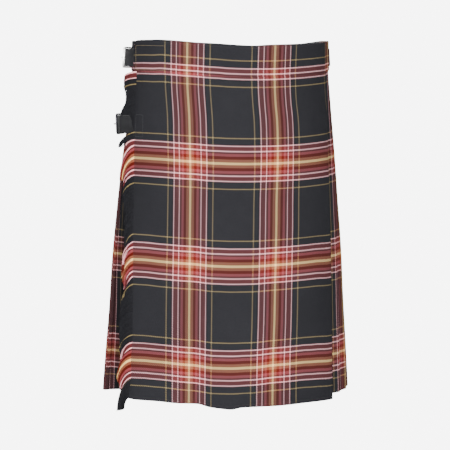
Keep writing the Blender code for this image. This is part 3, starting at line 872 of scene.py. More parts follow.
YARNS = {
    "charcoal": linear(35, 35, 38),
    "gold": linear(134, 117, 80),
    "pink": linear(255, 190, 193),
    "maroon": linear(97, 45, 46),
    "plum": linear(88, 44, 44),
    "rose": linear(147, 67, 71),
    "red": linear(94, 29, 21),
    "tan": linear(148, 86, 63),
    "cream": linear(255, 214, 138),
}
STRIPES = (
    # yarn  across  down    each stripe's far edge, in mm from the middle of the cream line
    ("cream", 1.7, 1.7),
    ("tan", 6.3, 7.0),
    ("red", 10.6, 11.9),
    ("rose", 14.4, 16.2),
    ("plum", 17.8, 19.5),
    ("pink", 19.7, 21.6),
    ("maroon", 27.2, 28.4),
    ("pink", 29.1, 30.5),
    ("charcoal", 38.0, 41.6),
    ("gold", 39.9, 43.5),
    ("charcoal", SETT, SETT_DOWN),
)
BLEND_POWER = 2.2            # dark yarns weigh more than bright ones where they cross, as they do to the eye
print("yarns:", ", ".join(YARNS))


# %% Small helpers for building node trees
def fill(tree, node, inputs):
    """Fills a node's inputs with values, or links them to sockets."""
    for key, value in inputs.items():
        if isinstance(value, bpy.types.NodeSocket):
            tree.links.new(value, node.inputs[key])
        else:
            node.inputs[key].default_value = value


def new_node(tree, kind, inputs=(), **settings):
    """A node with its settings made and its inputs filled."""
    node = tree.nodes.new(kind)
    for name, value in settings.items():
        setattr(node, name, value)
    fill(tree, node, dict(inputs))
    return node


def maths(tree, operation, a, b=0.0):
    return new_node(tree, "ShaderNodeMath", {0: a, 1: b}, operation=operation).outputs[0]


def times(tree, a, b):
    return maths(tree, "MULTIPLY", a, b)


def mixed(tree, share, a, b, blend="MIX"):
    node = new_node(tree, "ShaderNodeMix", {0: share, 6: a, 7: b}, data_type="RGBA", blend_type=blend)
    return node.outputs[2]


def new_tree(kind, name, inputs, outputs):
    """An empty tree with sockets of these kinds. Returns the tree, its inputs and its outputs."""
    tree = bpy.data.node_groups.new(name, kind)
    for way, sockets in (("INPUT", inputs), ("OUTPUT", outputs)):
        for socket_name, socket_kind in sockets.items():
            tree.interface.new_socket(socket_name, in_out=way, socket_type="NodeSocket" + socket_kind)
    return tree, tree.nodes.new("NodeGroupInput").outputs, tree.nodes.new("NodeGroupOutput").inputs


def stripe_ramp(tree, distance, column, sett):
    """The yarn's colour at a distance from the cream line."""
    ramp = new_node(tree, "ShaderNodeValToRGB", {0: maths(tree, "DIVIDE", distance, sett / 2 * MM)})
    ramp.color_ramp.interpolation = "CONSTANT"
    stops = ramp.color_ramp.elements
    starts = [0.0] + [row[column] / (sett / 2) for row in STRIPES[:-1]]
    while len(stops) < len(STRIPES):
        stops.new(1.0)
    for stop, start in zip(stops, starts):
        stop.position = start
    for stop, row in zip(sorted(stops, key=lambda s: s.position), STRIPES):
        stop.color = [value ** (1 / BLEND_POWER) for value in YARNS[row[0]]]
    return ramp.outputs[0]


def folded_distance(tree, value, sett, cream_at):
    """Distance to the nearest cream line, for lines every sett."""
    turns = maths(tree, "DIVIDE", maths(tree, "SUBTRACT", value, (cream_at - sett / 2) * MM), sett * MM)
    inside = maths(tree, "SUBTRACT", maths(tree, "FRACT", turns), 0.5)
    return times(tree, maths(tree, "ABSOLUTE", inside), sett * MM)


# %% The check as a node group
WARP_CREAM = SETT / 2        # the cream line's place across the cloth, from the apron's middle
WEFT_CREAM = 26.2            # and down the cloth, below the waist
WEFT_SHARE = 0.56            # the weft shows a little more than the warp

check, check_in, check_out = new_tree(
    "ShaderNodeTree",
    "woven_check",
    {"Across": "Float", "Down": "Float", "Thread": "Float", "Twill contrast": "Float"},
    {"Colour": "Color", "Twill": "Float", "Weft colour": "Color"},
)
across = check_in["Across"]
down = check_in["Down"]
warp_colour = stripe_ramp(check, folded_distance(check, across, SETT, WARP_CREAM), 1, SETT)
weft_colour = stripe_ramp(check, folded_distance(check, down, SETT_DOWN, WEFT_CREAM), 2, SETT_DOWN)
threads_on = maths(check, "DIVIDE", maths(check, "ADD", across, down), check_in["Thread"])
wave = maths(check, "SINE", times(check, threads_on, math.pi / 2))
contrast = times(check, check_in["Twill contrast"], 0.5)
twill = maths(check, "ADD", times(check, wave, contrast), WEFT_SHARE)
crossed = mixed(check, twill, warp_colour, weft_colour)
for colour, name in ((crossed, "Colour"), (weft_colour, "Weft colour")):
    power = new_node(check, "ShaderNodeGamma", {"Color": colour, "Gamma": BLEND_POWER})
    check.links.new(power.outputs[0], check_out[name])
check.links.new(wave, check_out["Twill"])
print("check group:", len(check.nodes), "nodes")

# %% [markdown]
# Wool twill is matte with a soft nap, so the shader is rough and hardly shines. The weave is a fine
# diagonal ridge in the bump, and slow noise makes one stretch of cloth a little duller than the next,
# as worn cloth is.


# %% The cloth's material
def material_tree(name):
    material = bpy.data.materials.new(name)
    material.use_nodes = True
    tree = material.node_tree
    return material, tree, tree.nodes["Principled BSDF"]


def attribute(tree, name):
    return new_node(tree, "ShaderNodeAttribute", attribute_name=name).outputs["Fac"]


def textured(tree, kind, inputs, **settings):
    """The outputs of a texture that is fixed to the object."""
    place = new_node(tree, "ShaderNodeTexCoord").outputs["Object"]
    return new_node(tree, kind, {"Vector": place, **inputs}, **settings).outputs


def noise(tree, scale, detail=2.0):
    return textured(tree, "ShaderNodeTexNoise", {"Scale": scale, "Detail": detail})["Fac"]


def spread(tree, value, new_low, new_high, low=0.3, high=0.7):
    """The value moved from the range low to high, where noise mostly lies, to the new range."""
    ends = {"From Min": low, "From Max": high, "To Min": new_low, "To Max": new_high}
    return new_node(tree, "ShaderNodeMapRange", {"Value": value, **ends}).outputs[0]


def bumps(tree, height, strength, distance):
    inputs = {"Height": height, "Strength": strength, "Distance": distance}
    return new_node(tree, "ShaderNodeBump", inputs).outputs[0]


def dress(pieces, material):
    """Gives the pieces this material and no other."""
    for piece in pieces:
        piece.data.materials.clear()
        piece.data.materials.append(material)


THREAD = 0.75                # mm between threads
TWILL_CONTRAST = 0.6         # the share of each yarn in a crossing swings by this much over the ridges


def woven_at(tree, **place):
    """The check's colours and twill at a place on the cloth."""
    inputs = {**place, "Thread": THREAD * MM, "Twill contrast": TWILL_CONTRAST}
    return new_node(tree, "ShaderNodeGroup", inputs, node_tree=check).outputs


cloth, tree, shader = material_tree("twill_check")
spot = new_node(tree, "ShaderNodeUVMap", uv_map="weave").outputs[0]
measure = new_node(tree, "ShaderNodeSeparateXYZ", {0: spot}).outputs
woven = woven_at(tree, Across=measure[0], Down=measure[1])
slow = spread(tree, noise(tree, 9.0), 0.94, 1.06)
fleck = spread(tree, noise(tree, 900.0, 1.0), 0.9, 1.1)
# Painted shade: the cloth's colour is darkened by the share of shade kept on its points, in the last pleat's
# recess.
lit_share = maths(tree, "SUBTRACT", 1.0, attribute(tree, "painted_shade"))
brightness = times(tree, times(tree, slow, fleck), lit_share)
ridge = maths(tree, "ADD", woven["Twill"], times(tree, fleck, 2.0))
finish = {
    "Base Color": mixed(tree, 1.0, woven["Colour"], brightness, "MULTIPLY"),
    "Roughness": spread(tree, noise(tree, 40.0), 0.82, 0.95),
    "Specular IOR Level": 0.04,
    "Normal": bumps(tree, ridge, 0.35, 0.00012),
}
fill(tree, shader, finish)
dress([over_apron, under_apron, band_front, band_back, band_under] + pleat_pieces, cloth)
print("cloth dressed")

# %% [markdown]
# ## The fringe
#
# Along its open edge the apron is unravelled: the warps are pulled out and the weft yarns are left
# hanging. Geometry Nodes suit this: one short line of points is put at every root, and each point
# is then moved by the same rule from values kept on the root.

# %% Roots of the fringe
FRINGE_TOP = BAND_HEIGHT + 1
FRINGE_END = HEM_DROP - 1
REACH = (
    # drop  on  out  fall  loose  slip    how far a yarn reaches past the edge, out from the body and
    #                  down, how uneven the yarns are there, and how far they have slipped down the edge
    (52, 9, 18.5, 7, 0.15, 6.5),
    (62, 9, 18.5, 6.5, 0.15, 7.6),
    (74, 9, 18, 7, 0.15, 4.5),
    (80, 8, 16, 10, 0.2, 2),
    (86, 7, 15.5, 15, 0.2, 0),
    (94, 7, 18.5, 20, 0.2, 0),
    (102, 7, 25, 22, 0.2, 0),
    (108, 6, 22, 17, 0.2, 0),
    (115, 5, 17, 11, 0.2, 0),
    (124, 3, 7, 3, 0.2, 0),
    (130, 2, 4, 8, 0.3, 0),
    (150, 2, 4, 14, 0.3, 0),
    (156, 12, 23, 20, 0.3, 0),
    (165, 8, 12, 8, 0.3, 0),
    (174, 8, 12, 14, 0.3, 0),
    (205, 12, 14, 24, 0.5, 0),
    (240, 12, 13, 22, 0.5, 0),
    (323, 10, 11, 29, 0.5, 0),
    (345, 11, 15, 31, 0.5, 0),
    (375, 11, 14, 31, 0.5, 0),
    (397, 8, 10.5, 28, 0.4, 0),
    (420, 13, 16.5, 28, 0.4, 0),
    (492, 14, 16.5, 20, 0.4, 0),
    (515, 12, 15, 27, 0.4, 0),
    (535, 14, 18, 30, 0.2, 0),
    (563, 11, 14, 26, 0.2, 0),
    (605, 10, 9, 30, 0.3, 0),
)
LOCKS = (
    # first_drop  last_drop  on  out  tip_drop  tip_width    yarns that have matted together at their tips
    (155, 165, 12, 23, 179, 5),
    (175, 203, 12, 18, 233, 6),
    (569, 605, 9, 13, 622, 16),
)
LOST_YARNS = (571, 584, 587)  # from, to, and the drop whose darker yarns hang there for the gold ones
ROOT_IN = 2.0                # mm that the roots lie inside the cloth's edge
ROOT_ROWS = 280
LOCK_LOOSE = 0.2
INWARD_STEP = 0.25           # stations in from the edge, which shows the way that the cloth runs


def edge_frame(drop):
    """The apron's fringed edge at a drop: the point, the way on past the edge and the way out."""
    ring = ring_at(drop)
    lower = over_apron_hem(EDGE) * hem_ease(drop)
    edge = ring.place(raw_edge(drop), MID_WALL, lower)
    inner = ring.place(raw_edge(drop) + INWARD_STEP, MID_WALL, lower)
    on = edge - inner
    on.z = 0
    on.normalize()
    return edge, on, Vector((-on.y, on.x, 0))


roots = []
kept = {"way": [], "fall": [], "down": [], "loose": []}
first_lost, last_lost, darker = LOST_YARNS
for drop in even_steps(FRINGE_TOP, FRINGE_END, ROOT_ROWS - 1):
    edge, on, out = edge_frame(drop)
    on_reach, out_reach, fall, loose, slip = table_row(REACH, drop)
    for first, last, lock_on, lock_out, tip, width in LOCKS:
        if first < drop < last:
            inward = width * ((drop - first) / (last - first) - 0.5)
            on_reach = lock_on - inward / 2
            out_reach = lock_out - inward
            fall = tip - drop
            loose = LOCK_LOOSE
    pulled_from = darker if first_lost < drop < last_lost else drop - slip
    pulled_from += over_apron_hem(EDGE) * hem_ease(drop)
    roots.append(edge - on * ROOT_IN * MM)
    kept["way"].append((on * on_reach + out * out_reach) * MM)
    kept["fall"].append(fall * MM)
    kept["down"].append(apron_weave(-HALF_APRON, pulled_from)[1] * MM)
    kept["loose"].append(loose)
fringe = add_mesh("fringe_yarns", roots, [(k, k + 1) for k in range(ROOT_ROWS - 1)])
for name, values in kept.items():
    keep_on_points(fringe.data, name, values)
print("fringe from", FRINGE_TOP, "to", HEM_DROP, "mm")


# %% A Geometry Nodes tree for hanging yarns
def geometry_tree(name, inputs):
    """An empty geometry tree with a Geometry socket each way and the named inputs."""
    return new_tree("GeometryNodeTree", name, {"Geometry": "Geometry", **inputs}, {"Geometry": "Geometry"})


def geometry(tree, kind, inputs=(), **settings):
    """The first output of a new geometry node."""
    return new_node(tree, "GeometryNode" + kind, inputs, **settings).outputs[0]


def named(tree, name, kind="FLOAT"):
    return geometry(tree, "InputNamedAttribute", {"Name": name}, data_type=kind)


def stored(tree, points, name, value, kind="FLOAT"):
    inputs = {"Geometry": points, "Name": name, "Value": value}
    return geometry(tree, "StoreNamedAttribute", inputs, data_type=kind, domain="POINT")


def scaled(tree, vector, factor):
    return new_node(tree, "ShaderNodeVectorMath", {0: vector, "Scale": factor}, operation="SCALE").outputs[0]


def added(tree, a, b):
    return new_node(tree, "ShaderNodeVectorMath", {0: a, 1: b}, operation="ADD").outputs[0]


def chance(tree, seed):
    """A random number from 0 to 1 for each element."""
    inputs = {2: 0.0, 3: 1.0, "Seed": seed}
    return new_node(tree, "FunctionNodeRandomValue", inputs, data_type="FLOAT").outputs[1]


def in_material(tree, shape, material):
    return geometry(tree, "SetMaterial", {"Geometry": shape, "Material": material})


LENGTH_SEED = 11
SPREAD_SEED = 23
LONGEST = 1.05               # a yarn's length, as a share of its reach, where none is shorter
SHORTER = 0.35               # how much shorter and nearer loose yarns can be
NEARER = 0.4
CURL_ALONG = 0.3             # how far along its way a yarn takes its curl from
CURL_SCALE = 110.0
TIP_RADIUS = 0.55            # a share of the root's


def yarn_tree():
    tree, inputs, outputs = geometry_tree(
        "hanging_yarns",
        {
            "Yarns": "Int",
            "Points in a yarn": "Int",
            "Yarn radius": "Float",
            "Wander": "Float",
            "Bend": "Float",
            "Droop": "Float",
            "Material": "Material",
        },
    )
    line = geometry(tree, "MeshToCurve", {"Mesh": inputs["Geometry"]})
    spaced = geometry(tree, "ResampleCurve", {"Curve": line, "Count": inputs["Yarns"]})
    root = geometry(tree, "CurveToPoints", {"Curve": spaced}, mode="EVALUATED")
    root = stored(tree, root, "root", geometry(tree, "InputPosition"), "FLOAT_VECTOR")
    root = stored(tree, root, "chance_a", chance(tree, LENGTH_SEED))
    root = stored(tree, root, "chance_b", chance(tree, SPREAD_SEED))
    yarn = geometry(tree, "CurvePrimitiveLine", {"Start": (0, 0, 0), "End": (1, 0, 0)})
    yarn = geometry(tree, "ResampleCurve", {"Curve": yarn, "Count": inputs["Points in a yarn"]})
    along = new_node(tree, "ShaderNodeSeparateXYZ", {0: geometry(tree, "InputPosition")}).outputs[0]
    yarn = stored(tree, yarn, "along", along)
    each = geometry(tree, "InstanceOnPoints", {"Points": root, "Instance": yarn})
    real = geometry(tree, "RealizeInstances", {"Geometry": each})
    t = named(tree, "along")
    loose = named(tree, "loose")
    shorter = times(tree, named(tree, "chance_a"), times(tree, loose, SHORTER))
    t_long = times(tree, t, maths(tree, "SUBTRACT", LONGEST, shorter))
    straight_part = times(tree, t_long, maths(tree, "ADD", inputs["Bend"], 1.0))
    bent_part = times(tree, maths(tree, "POWER", t_long, 2.0), inputs["Bend"])
    bent = maths(tree, "SUBTRACT", straight_part, bent_part)
    nearer = times(tree, named(tree, "chance_b"), times(tree, loose, NEARER))
    reach = times(tree, bent, maths(tree, "SUBTRACT", LONGEST, nearer))
    sideways = scaled(tree, named(tree, "way", "FLOAT_VECTOR"), reach)
    drooped = maths(tree, "POWER", t_long, inputs["Droop"])
    drop = times(tree, times(tree, drooped, named(tree, "fall")), -1.0)
    fall = new_node(tree, "ShaderNodeCombineXYZ", {2: drop}).outputs[0]
    base = named(tree, "root", "FLOAT_VECTOR")
    moved = added(tree, added(tree, base, sideways), fall)
    lock_spot = added(tree, base, scaled(tree, sideways, CURL_ALONG))
    field = {"Vector": lock_spot, "Scale": CURL_SCALE, "Detail": 1.5}
    field = new_node(tree, "ShaderNodeTexNoise", field, normalize=False).outputs["Color"]
    stray = times(tree, times(tree, inputs["Wander"], t), loose)
    final = added(tree, moved, scaled(tree, field, stray))
    placed = geometry(tree, "SetPosition", {"Geometry": real, "Position": final})
    taper = spread(tree, t, 1.0, TIP_RADIUS, 0.0, 1.0)
    placed = geometry(tree, "SetCurveRadius", {"Curve": placed, "Radius": taper})
    ring = geometry(tree, "CurvePrimitiveCircle", {"Resolution": 4, "Radius": inputs["Yarn radius"]})
    body = {"Curve": placed, "Profile Curve": ring, "Fill Caps": True, "Scale": taper}
    body = geometry(tree, "RealizeInstances", {"Geometry": geometry(tree, "CurveToMesh", body)})
    tree.links.new(in_material(tree, body, inputs["Material"]), outputs[0])
    return tree


def run_nodes(made, tree, values):
    """Puts the tree on the object with these input values, then keeps its result as a plain mesh."""
    modifier = made.modifiers.new("made", "NODES")
    modifier.node_group = tree
    for item in tree.interface.items_tree:
        if item.in_out == "INPUT" and item.name in values:
            modifier[item.identifier] = values[item.name]
    bake_modifiers(made)
    print(made.name, len(made.data.polygons), "faces")
    return made


# %% [markdown]
# A yarn's colour comes from the place of its root down the weave, through the same stripes as the
# cloth, so every band of colour carries on into the fringe.

# %% The yarn's material, and the fringe itself
yarn_material, tree, shader = material_tree("fringe_yarn")
woven = woven_at(tree, Down=attribute(tree, "down"))
fuzz = spread(tree, noise(tree, 700.0, 1.0), 0.8, 1.15)
tone_and_painted_light = times(tree, fuzz, spread(tree, attribute(tree, "chance_a"), 0.55, 0.98, 0.0, 1.0))
# Painted light: each yarn is up to a quarter brighter at its root, fading out over the first 0.4 of its
# length, to lift the shade where the yarns leave the cloth. The rest of the tone differs at random.
tone_and_painted_light = times(tree, tone_and_painted_light, spread(tree, attribute(tree, "along"), 1.25, 1.0, 0.0, 0.4))
finish = {
    "Base Color": mixed(tree, 1.0, woven["Weft colour"], tone_and_painted_light, "MULTIPLY"),
    "Roughness": 0.9,
    "Specular IOR Level": 0.04,
    "Normal": bumps(tree, fuzz, 0.3, 0.0002),
}
fill(tree, shader, finish)
run_nodes(
    fringe,
    yarn_tree(),
    {
        "Yarns": 2700,
        "Points in a yarn": 8,
        "Yarn radius": 0.0006,
        "Wander": 0.005,
        "Bend": 0.8,
        "Droop": 1.45,
        "Material": yarn_material,
    },
)

# %% [markdown]
# ## Leather and metal
#
# The straps are thick black leather, and the buckles are bent from square bar and plated. Their solids
# already have the right shape and fit, so each is copied, its loose triangles are merged back into
# faces, and its edges are rounded with a bevel. A soft edge is what makes leather look cut and metal
# look polished.

# %% Round off the straps and buckles
STRAPS = (("waist", "right"), ("hip", "right"), ("waist", "left"))
FITTINGS = (
    # new name  CAD name  bevel, in mm  its steps
    ("leather", "{side}_strap_{hand}", 0.5, 2),
    ("tab_leather", "buckle_tab_{side}_{hand}", 0.35, 2),
    ("keeper_leather", "keeper_{side}_{hand}", 0.35, 2),
    ("frame_metal", "buckle_{side}_{hand}", 0.9, 3),
    ("prong_metal", "prong_{side}_{hand}", 0.6, 3),
)
FLAT_ANGLE = math.radians(1.5)
BEVEL_ANGLE = math.radians(35)
SAME_SPOT = 0.01             # mm, so that the triangles' corners are merged
HIP_PULL = Vector((0.8, 0, 0))       # mm that the hip buckle is pulled up tight against its strap


def softened(name, node, width, segments):
    """A copy of a CAD node with its triangles merged into faces and its edges rounded."""
    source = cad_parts[node]
    mesh = source.data.copy()
    mesh.transform(source.matrix_world)
    if node == "buckle_hip_right":
        mesh.transform(Matrix.Translation(HIP_PULL * MM))
    work = bmesh.new()
    work.from_mesh(mesh)
    bmesh.ops.remove_doubles(work, verts=work.verts, dist=SAME_SPOT * MM)
    bmesh.ops.dissolve_limit(work, angle_limit=FLAT_ANGLE, verts=work.verts, edges=work.edges)
    work.to_mesh(mesh)
    work.free()
    made = add_object(name, mesh)
    bevel = made.modifiers.new("edges", "BEVEL")
    bevel.width = width * MM
    bevel.segments = segments
    bevel.limit_method = "ANGLE"
    bevel.angle_limit = BEVEL_ANGLE
    bake_modifiers(made)
    made.data.name = name
    made.data.shade_smooth()
    made.data.set_sharp_from_angle(angle=BEVEL_ANGLE)
    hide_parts(node)
    return made


leather_pieces = []
metal_pieces = []
for side, hand in STRAPS:
    for kind, node, width, steps in FITTINGS:
        pieces = metal_pieces if "metal" in kind else leather_pieces
        node = node.format(side=side, hand=hand)
        pieces.append(softened(f"{kind}_{side}_{hand}", node, width, steps))
print("leather pieces:", len(leather_pieces), "metal pieces:", len(metal_pieces))

# %% [markdown]
# Black strap leather has a fine pebbled grain, and it is a little greyer and glossier in patches where
# it is rubbed.

# %% Leather
leather, tree, shader = material_tree("strap_leather")
cells = textured(tree, "ShaderNodeTexVoronoi", {"Scale": 1100.0}, feature="DISTANCE_TO_EDGE")
pebble = spread(tree, cells["Distance"], 0.0, 1.0, 0.0, 0.25)
patches = noise(tree, 60.0, 3.0)
rubbed = spread(tree, patches, 0.0, 0.6, 0.35, 0.75)
finish = {
    "Base Color": mixed(tree, rubbed, linear(13, 13, 15), linear(30, 30, 33)),
    "Roughness": spread(tree, patches, 0.62, 0.46),
    "Specular IOR Level": 0.18,
    "Normal": bumps(tree, pebble, 0.4, 0.0002),
}
fill(tree, shader, finish)
dress(leather_pieces, leather)
print("leather nodes:", len(tree.nodes))

# %% [markdown]
# The waist buckles are bright nickel. The one on the hip has the same plate painted near black, as
# painted shade for the shade that it hangs in among the pleats.

# %% Plated metal
PLATES = (
    # name  bright  dull    as screen colours
    ("nickel_plate", (232, 232, 228), (196, 196, 194)),
    # painted shade: the hip buckle's copy of the plate, made near black
    ("painted_shade_plate", (44, 44, 47), (28, 28, 30)),
)
plated = {}
for name, bright, dull in PLATES:
    plated[name], tree, shader = material_tree(name)
    worn = noise(tree, 120.0, 4.0)
    toned = mixed(tree, spread(tree, worn, 0.0, 1.0, 0.4, 0.7), linear(*bright), linear(*dull))
    roughness = spread(tree, worn, 0.3, 0.46)
    fill(tree, shader, {"Base Color": toned, "Roughness": roughness, "Metallic": 1.0})
for piece in metal_pieces:
    dress([piece], plated["painted_shade_plate" if "hip" in piece.name else "nickel_plate"])
print("plates:", ", ".join(plated))

# %% [markdown]
# ## Sewing
#
# A strap is edged with a row of black stitches on each side, and its root is sewn to the kilt with a
# box of stitches: dull gold on the waistband, black on the apron. Each place is found by looking
# straight in at the piece from outside, so that a stitch always lies on the surface it is sewn to.

# %% Where the stitches go
STITCH_PITCH = 3.4
STITCH_LENGTH = 2.5
STITCH_WIDTH = 0.7
LONGEST_STITCH = 1.5 * STITCH_PITCH  # a longer one has jumped from one piece to another
STITCH_PROUD = 0.1           # mm that a stitch's middle stands above the surface
LOOK_FROM = 60               # mm outside the envelope
STRAP_EDGE = 12.4            # mm from a strap's middle to its row of stitches
ROWS_ON_STRAPS = (
    # leather  drop  side  first  last    a strap's two long rows, in mm from the apron's edge or fold
    ("leather_waist_right", 28.5, -1, 9, 112),
    ("leather_hip_right", 142.5, -1, 9, 112),
    ("leather_waist_left", 28.5, 1, 51, 160),
)
STRAP_BOX = ("leather_waist_left", 28.5, 1, (51, 70))    # and the two rows across its root
ROOT_BOXES = (
    # cloth  middle_drop  half_height  first  last  rise    a box round a root, in mm in from the apron's
    #                                                       edge, and how far its last corners rise
    ("band", 28.5, 20.5, 3, 77, 3.2),
    ("apron", 142.5, 18.5, 6, 26, 0),
)


def looked_at(tree, drop, length):
    """The (point, normal) seen on a surface from outside, this far round from the middle of the front."""
    ring = ring_at(drop)
    plan, turn = ring.walked(length)
    after = ring.walked(length + 1)[0]
    run = (after - plan).normalized()
    out = Vector((run.y, -run.x, 0))
    eye = (Vector((plan.x, plan.y, -drop - ring.dip(turn))) + out * LOOK_FROM) * MM
    point, normal, _, _ = tree.ray_cast(eye, -out, 2 * LOOK_FROM * MM)
    return point, normal


def sewn_line(piece, corners):
    """The stitches along a line of (drop, length) corners on a piece, as (point, normal, run)."""
    mesh = piece.data
    tree = BVHTree.FromPolygons([v.co for v in mesh.vertices], [f.vertices for f in mesh.polygons])
    line = []
    for start, end in zip(corners, corners[1:]):
        gap = math.hypot(end[0] - start[0], end[1] - start[1])
        count = max(2, round(gap / STITCH_PITCH))
        ends = []
        for k in range(count + 1):
            share = k / count
            drop = between(start[0], end[0], share)
            ends.append(looked_at(tree, drop, between(start[1], end[1], share)))
        for (a, normal_a), (b, normal_b) in zip(ends, ends[1:]):
            if a is not None and b is not None and (b - a).length < LONGEST_STITCH * MM:
                line.append(((a + b) / 2, (normal_a + normal_b).normalized(), (b - a).normalized()))
    return line


leather_stitches = []
for name, drop, side, first, last in ROWS_ON_STRAPS:
    near = side * (HALF_APRON + first)
    far = side * (HALF_APRON + last)
    for edge in (drop - STRAP_EDGE, drop + STRAP_EDGE):
        leather_stitches += sewn_line(bpy.data.objects[name], [(edge, near), (edge, far)])
name, drop, side, places = STRAP_BOX
for along in places:
    length = side * (HALF_APRON + along)
    ends = [(drop - STRAP_EDGE, length), (drop + STRAP_EDGE, length)]
    leather_stitches += sewn_line(bpy.data.objects[name], ends)
root_stitches = {}
for (cloth, middle, half, first, last, rise), piece in zip(ROOT_BOXES, (band_front, over_apron)):
    box = [(-half, first), (-half - rise, last), (half - rise, last), (half, first), (-half, first)]
    corners = [(middle + down, -HALF_APRON + along) for down, along in box]
    root_stitches[cloth] = sewn_line(piece, corners)
print("stitches:", len(leather_stitches), {cloth: len(row) for cloth, row in root_stitches.items()})


# %% A Geometry Nodes tree for a row of stitches
def stitch_tree():
    tree, inputs, outputs = geometry_tree(
        "sewn_stitches", {"Length": "Float", "Width": "Float", "Material": "Material"}
    )
    bead = geometry(tree, "MeshIcoSphere", {"Radius": 0.5, "Subdivisions": 2})
    bead = geometry(tree, "SetShadeSmooth", {"Geometry": bead})
    turned = "FunctionNodeAlignRotationToVector"
    first = new_node(tree, turned, {"Vector": named(tree, "run", "FLOAT_VECTOR")}, axis="X")
    aims = {"Rotation": first.outputs[0], "Vector": named(tree, "out", "FLOAT_VECTOR")}
    second = new_node(tree, turned, aims, axis="Z", pivot_axis="X")
    sizes = {0: inputs["Length"], 1: inputs["Width"], 2: inputs["Width"]}
    sizes = new_node(tree, "ShaderNodeCombineXYZ", sizes).outputs[0]
    placed = {"Points": inputs["Geometry"], "Instance": bead, "Rotation": second.outputs[0], "Scale": sizes}
    real = geometry(tree, "RealizeInstances", {"Geometry": geometry(tree, "InstanceOnPoints", placed)})
    tree.links.new(in_material(tree, real, inputs["Material"]), outputs[0])
    return tree


def sew(name, stitches, tree, material):
    made = add_mesh(name, [point + normal * STITCH_PROUD * MM for point, normal, _ in stitches])
    keep_on_points(made.data, "out", [normal for _, normal, _ in stitches])
    keep_on_points(made.data, "run", [run for _, _, run in stitches])
    sizes = {"Length": STITCH_LENGTH * MM, "Width": STITCH_WIDTH * MM, "Material": material}
    return run_nodes(made, tree, sizes)


# %% [markdown]
# Two threads are enough: the leather and the apron are sewn in black, and the band in gold.

# %% Sew the straps
THREADS = (
    # name  colour
    ("black_thread", (24, 24, 27)),
    ("gold_thread", (128, 112, 78)),
)
threads = {}
for name, colour in THREADS:
    threads[name], tree, shader = material_tree(name)
    strands = noise(tree, 2600.0, 1.0)
    shaded = mixed(tree, spread(tree, strands, 0.0, 0.35), linear(*colour), linear(8, 8, 8))
    normal = bumps(tree, strands, 0.4, 0.0001)
    fill(tree, shader, {"Base Color": shaded, "Roughness": 0.7, "Normal": normal})
sewing = stitch_tree()
strap_sewing = sew("strap_stitches", leather_stitches, sewing, threads["black_thread"])
band_sewing = sew("band_stitches", root_stitches["band"], sewing, threads["gold_thread"])
apron_sewing = sew("apron_stitches", root_stitches["apron"], sewing, threads["black_thread"])

# %% [markdown]
# ## Room and light
#
# The kilt hangs before a white sweep, as on a shop's page. One broad soft light stands close to the
# camera, a little to its left, so the front is clear and the sides fall away. A faint one hangs above,
# and one behind shows the pleats from the back. The sweep and the floor are shown to the camera
# brighter than they light the cloth, or they would wash its blacks out.

# %% Floor and lights
FLOOR_HEIGHT = -1.05
FLOOR_HALF = 40.0
ROOM_LIGHT = 0.38            # how strongly the room lights the cloth
ROOM_SHOWN = 7.0             # how bright it looks behind it
ROOM_MIRRORED = 2.2          # and how bright it looks in polished metal


def by_ray(tree, kind, plain, other):
    """A shader that is plain for every kind of ray but one."""
    path = new_node(tree, "ShaderNodeLightPath")
    return new_node(tree, "ShaderNodeMixShader", {0: path.outputs[kind], 1: plain, 2: other}).outputs[0]


WHITE = (1, 1, 1, 1)
corners = [(-1, -1), (1, -1), (1, 1), (-1, 1)]
corners = [(x * FLOOR_HALF, y * FLOOR_HALF, FLOOR_HEIGHT) for x, y in corners]
floor = add_mesh("floor", corners, faces=[(0, 1, 2, 3)])
floor_material, tree, shader = material_tree("pale_floor")
fill(tree, shader, {"Base Color": (0.9, 0.9, 0.9, 1), "Roughness": 0.9})
glow = new_node(tree, "ShaderNodeEmission", {"Color": WHITE, "Strength": ROOM_SHOWN}).outputs[0]
shown = by_ray(tree, "Is Camera Ray", shader.outputs[0], glow)
tree.links.new(shown, tree.nodes["Material Output"].inputs[0])
dress([floor], floor_material)

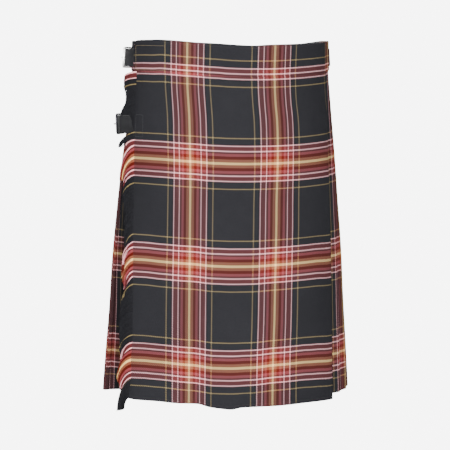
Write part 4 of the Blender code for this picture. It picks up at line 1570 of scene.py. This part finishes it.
world = bpy.data.worlds.new("soft_room")
world.use_nodes = True
tree = world.node_tree
dim = tree.nodes["Background"]
fill(tree, dim, {"Color": WHITE, "Strength": ROOM_LIGHT})
sweep = new_node(tree, "ShaderNodeBackground", {"Color": WHITE, "Strength": ROOM_SHOWN}).outputs[0]
mirror = new_node(tree, "ShaderNodeBackground", {"Color": WHITE, "Strength": ROOM_MIRRORED}).outputs[0]
lit = by_ray(tree, "Is Glossy Ray", dim.outputs[0], mirror)
tree.links.new(by_ray(tree, "Is Camera Ray", lit, sweep), tree.nodes["World Output"].inputs[0])
bpy.context.scene.world = world

LIGHTS = (
    # name  place  size  watts
    ("key_light", (-0.5, -3.4, 0.5), 1.6, 225),
    ("top_light", (0.3, -1.2, 2.4), 1.6, 14),
    ("back_light", (0.0, 3.4, 0.8), 2.4, 130),
)
TARGET = Vector((0, 0, -0.3))
for name, spot, size, watts in LIGHTS:
    data = bpy.data.lights.new(name, "AREA")
    data.shape = "DISK"
    data.size = size
    data.energy = watts
    lamp = add_object(name, data)
    lamp.location = spot
    lamp.rotation_euler = (TARGET - Vector(spot)).to_track_quat("-Z", "Y").to_euler()
print("lights:", len(LIGHTS))

# %% [markdown]
# ## Ride and replace
#
# Every piece rides on the kilt's one body and stands for its plain solid. The size that each band's strip
# was cut to is worked out too.

# %% Ride and replace
replaced = {
    over_apron: "over_apron",
    under_apron: "under_apron",
    band_front: "waistband_front",
    band_back: "waistband_back",
    band_under: "waistband_under",
    fringe: "fringe",
}
for part, piece in enumerate(pleat_pieces):
    replaced[piece] = f"pleats_{part + 1}"
for piece, node in replaced.items():
    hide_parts(node)
for piece in list(replaced) + leather_pieces + metal_pieces + [strap_sewing, band_sewing, apron_sewing]:
    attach(piece, "root")


def band_cut(stations):
    """The strip that a band was folded from: (length, height) in metres."""
    reference = ring_at(BAND_HEIGHT / 2)
    length = reference.length_at(stations[-1][0]) - reference.length_at(stations[0][0])
    deep = sum(inner - outer for _, outer, inner in stations) / len(stations)
    return (length * MM, (2 * BAND_HEIGHT + deep) * MM)


for piece, stations in ((band_front, front_rows), (band_back, back_rows), (band_under, under_rows)):
    band_cut(stations)
print("pieces that stand for cloth:", len(replaced))
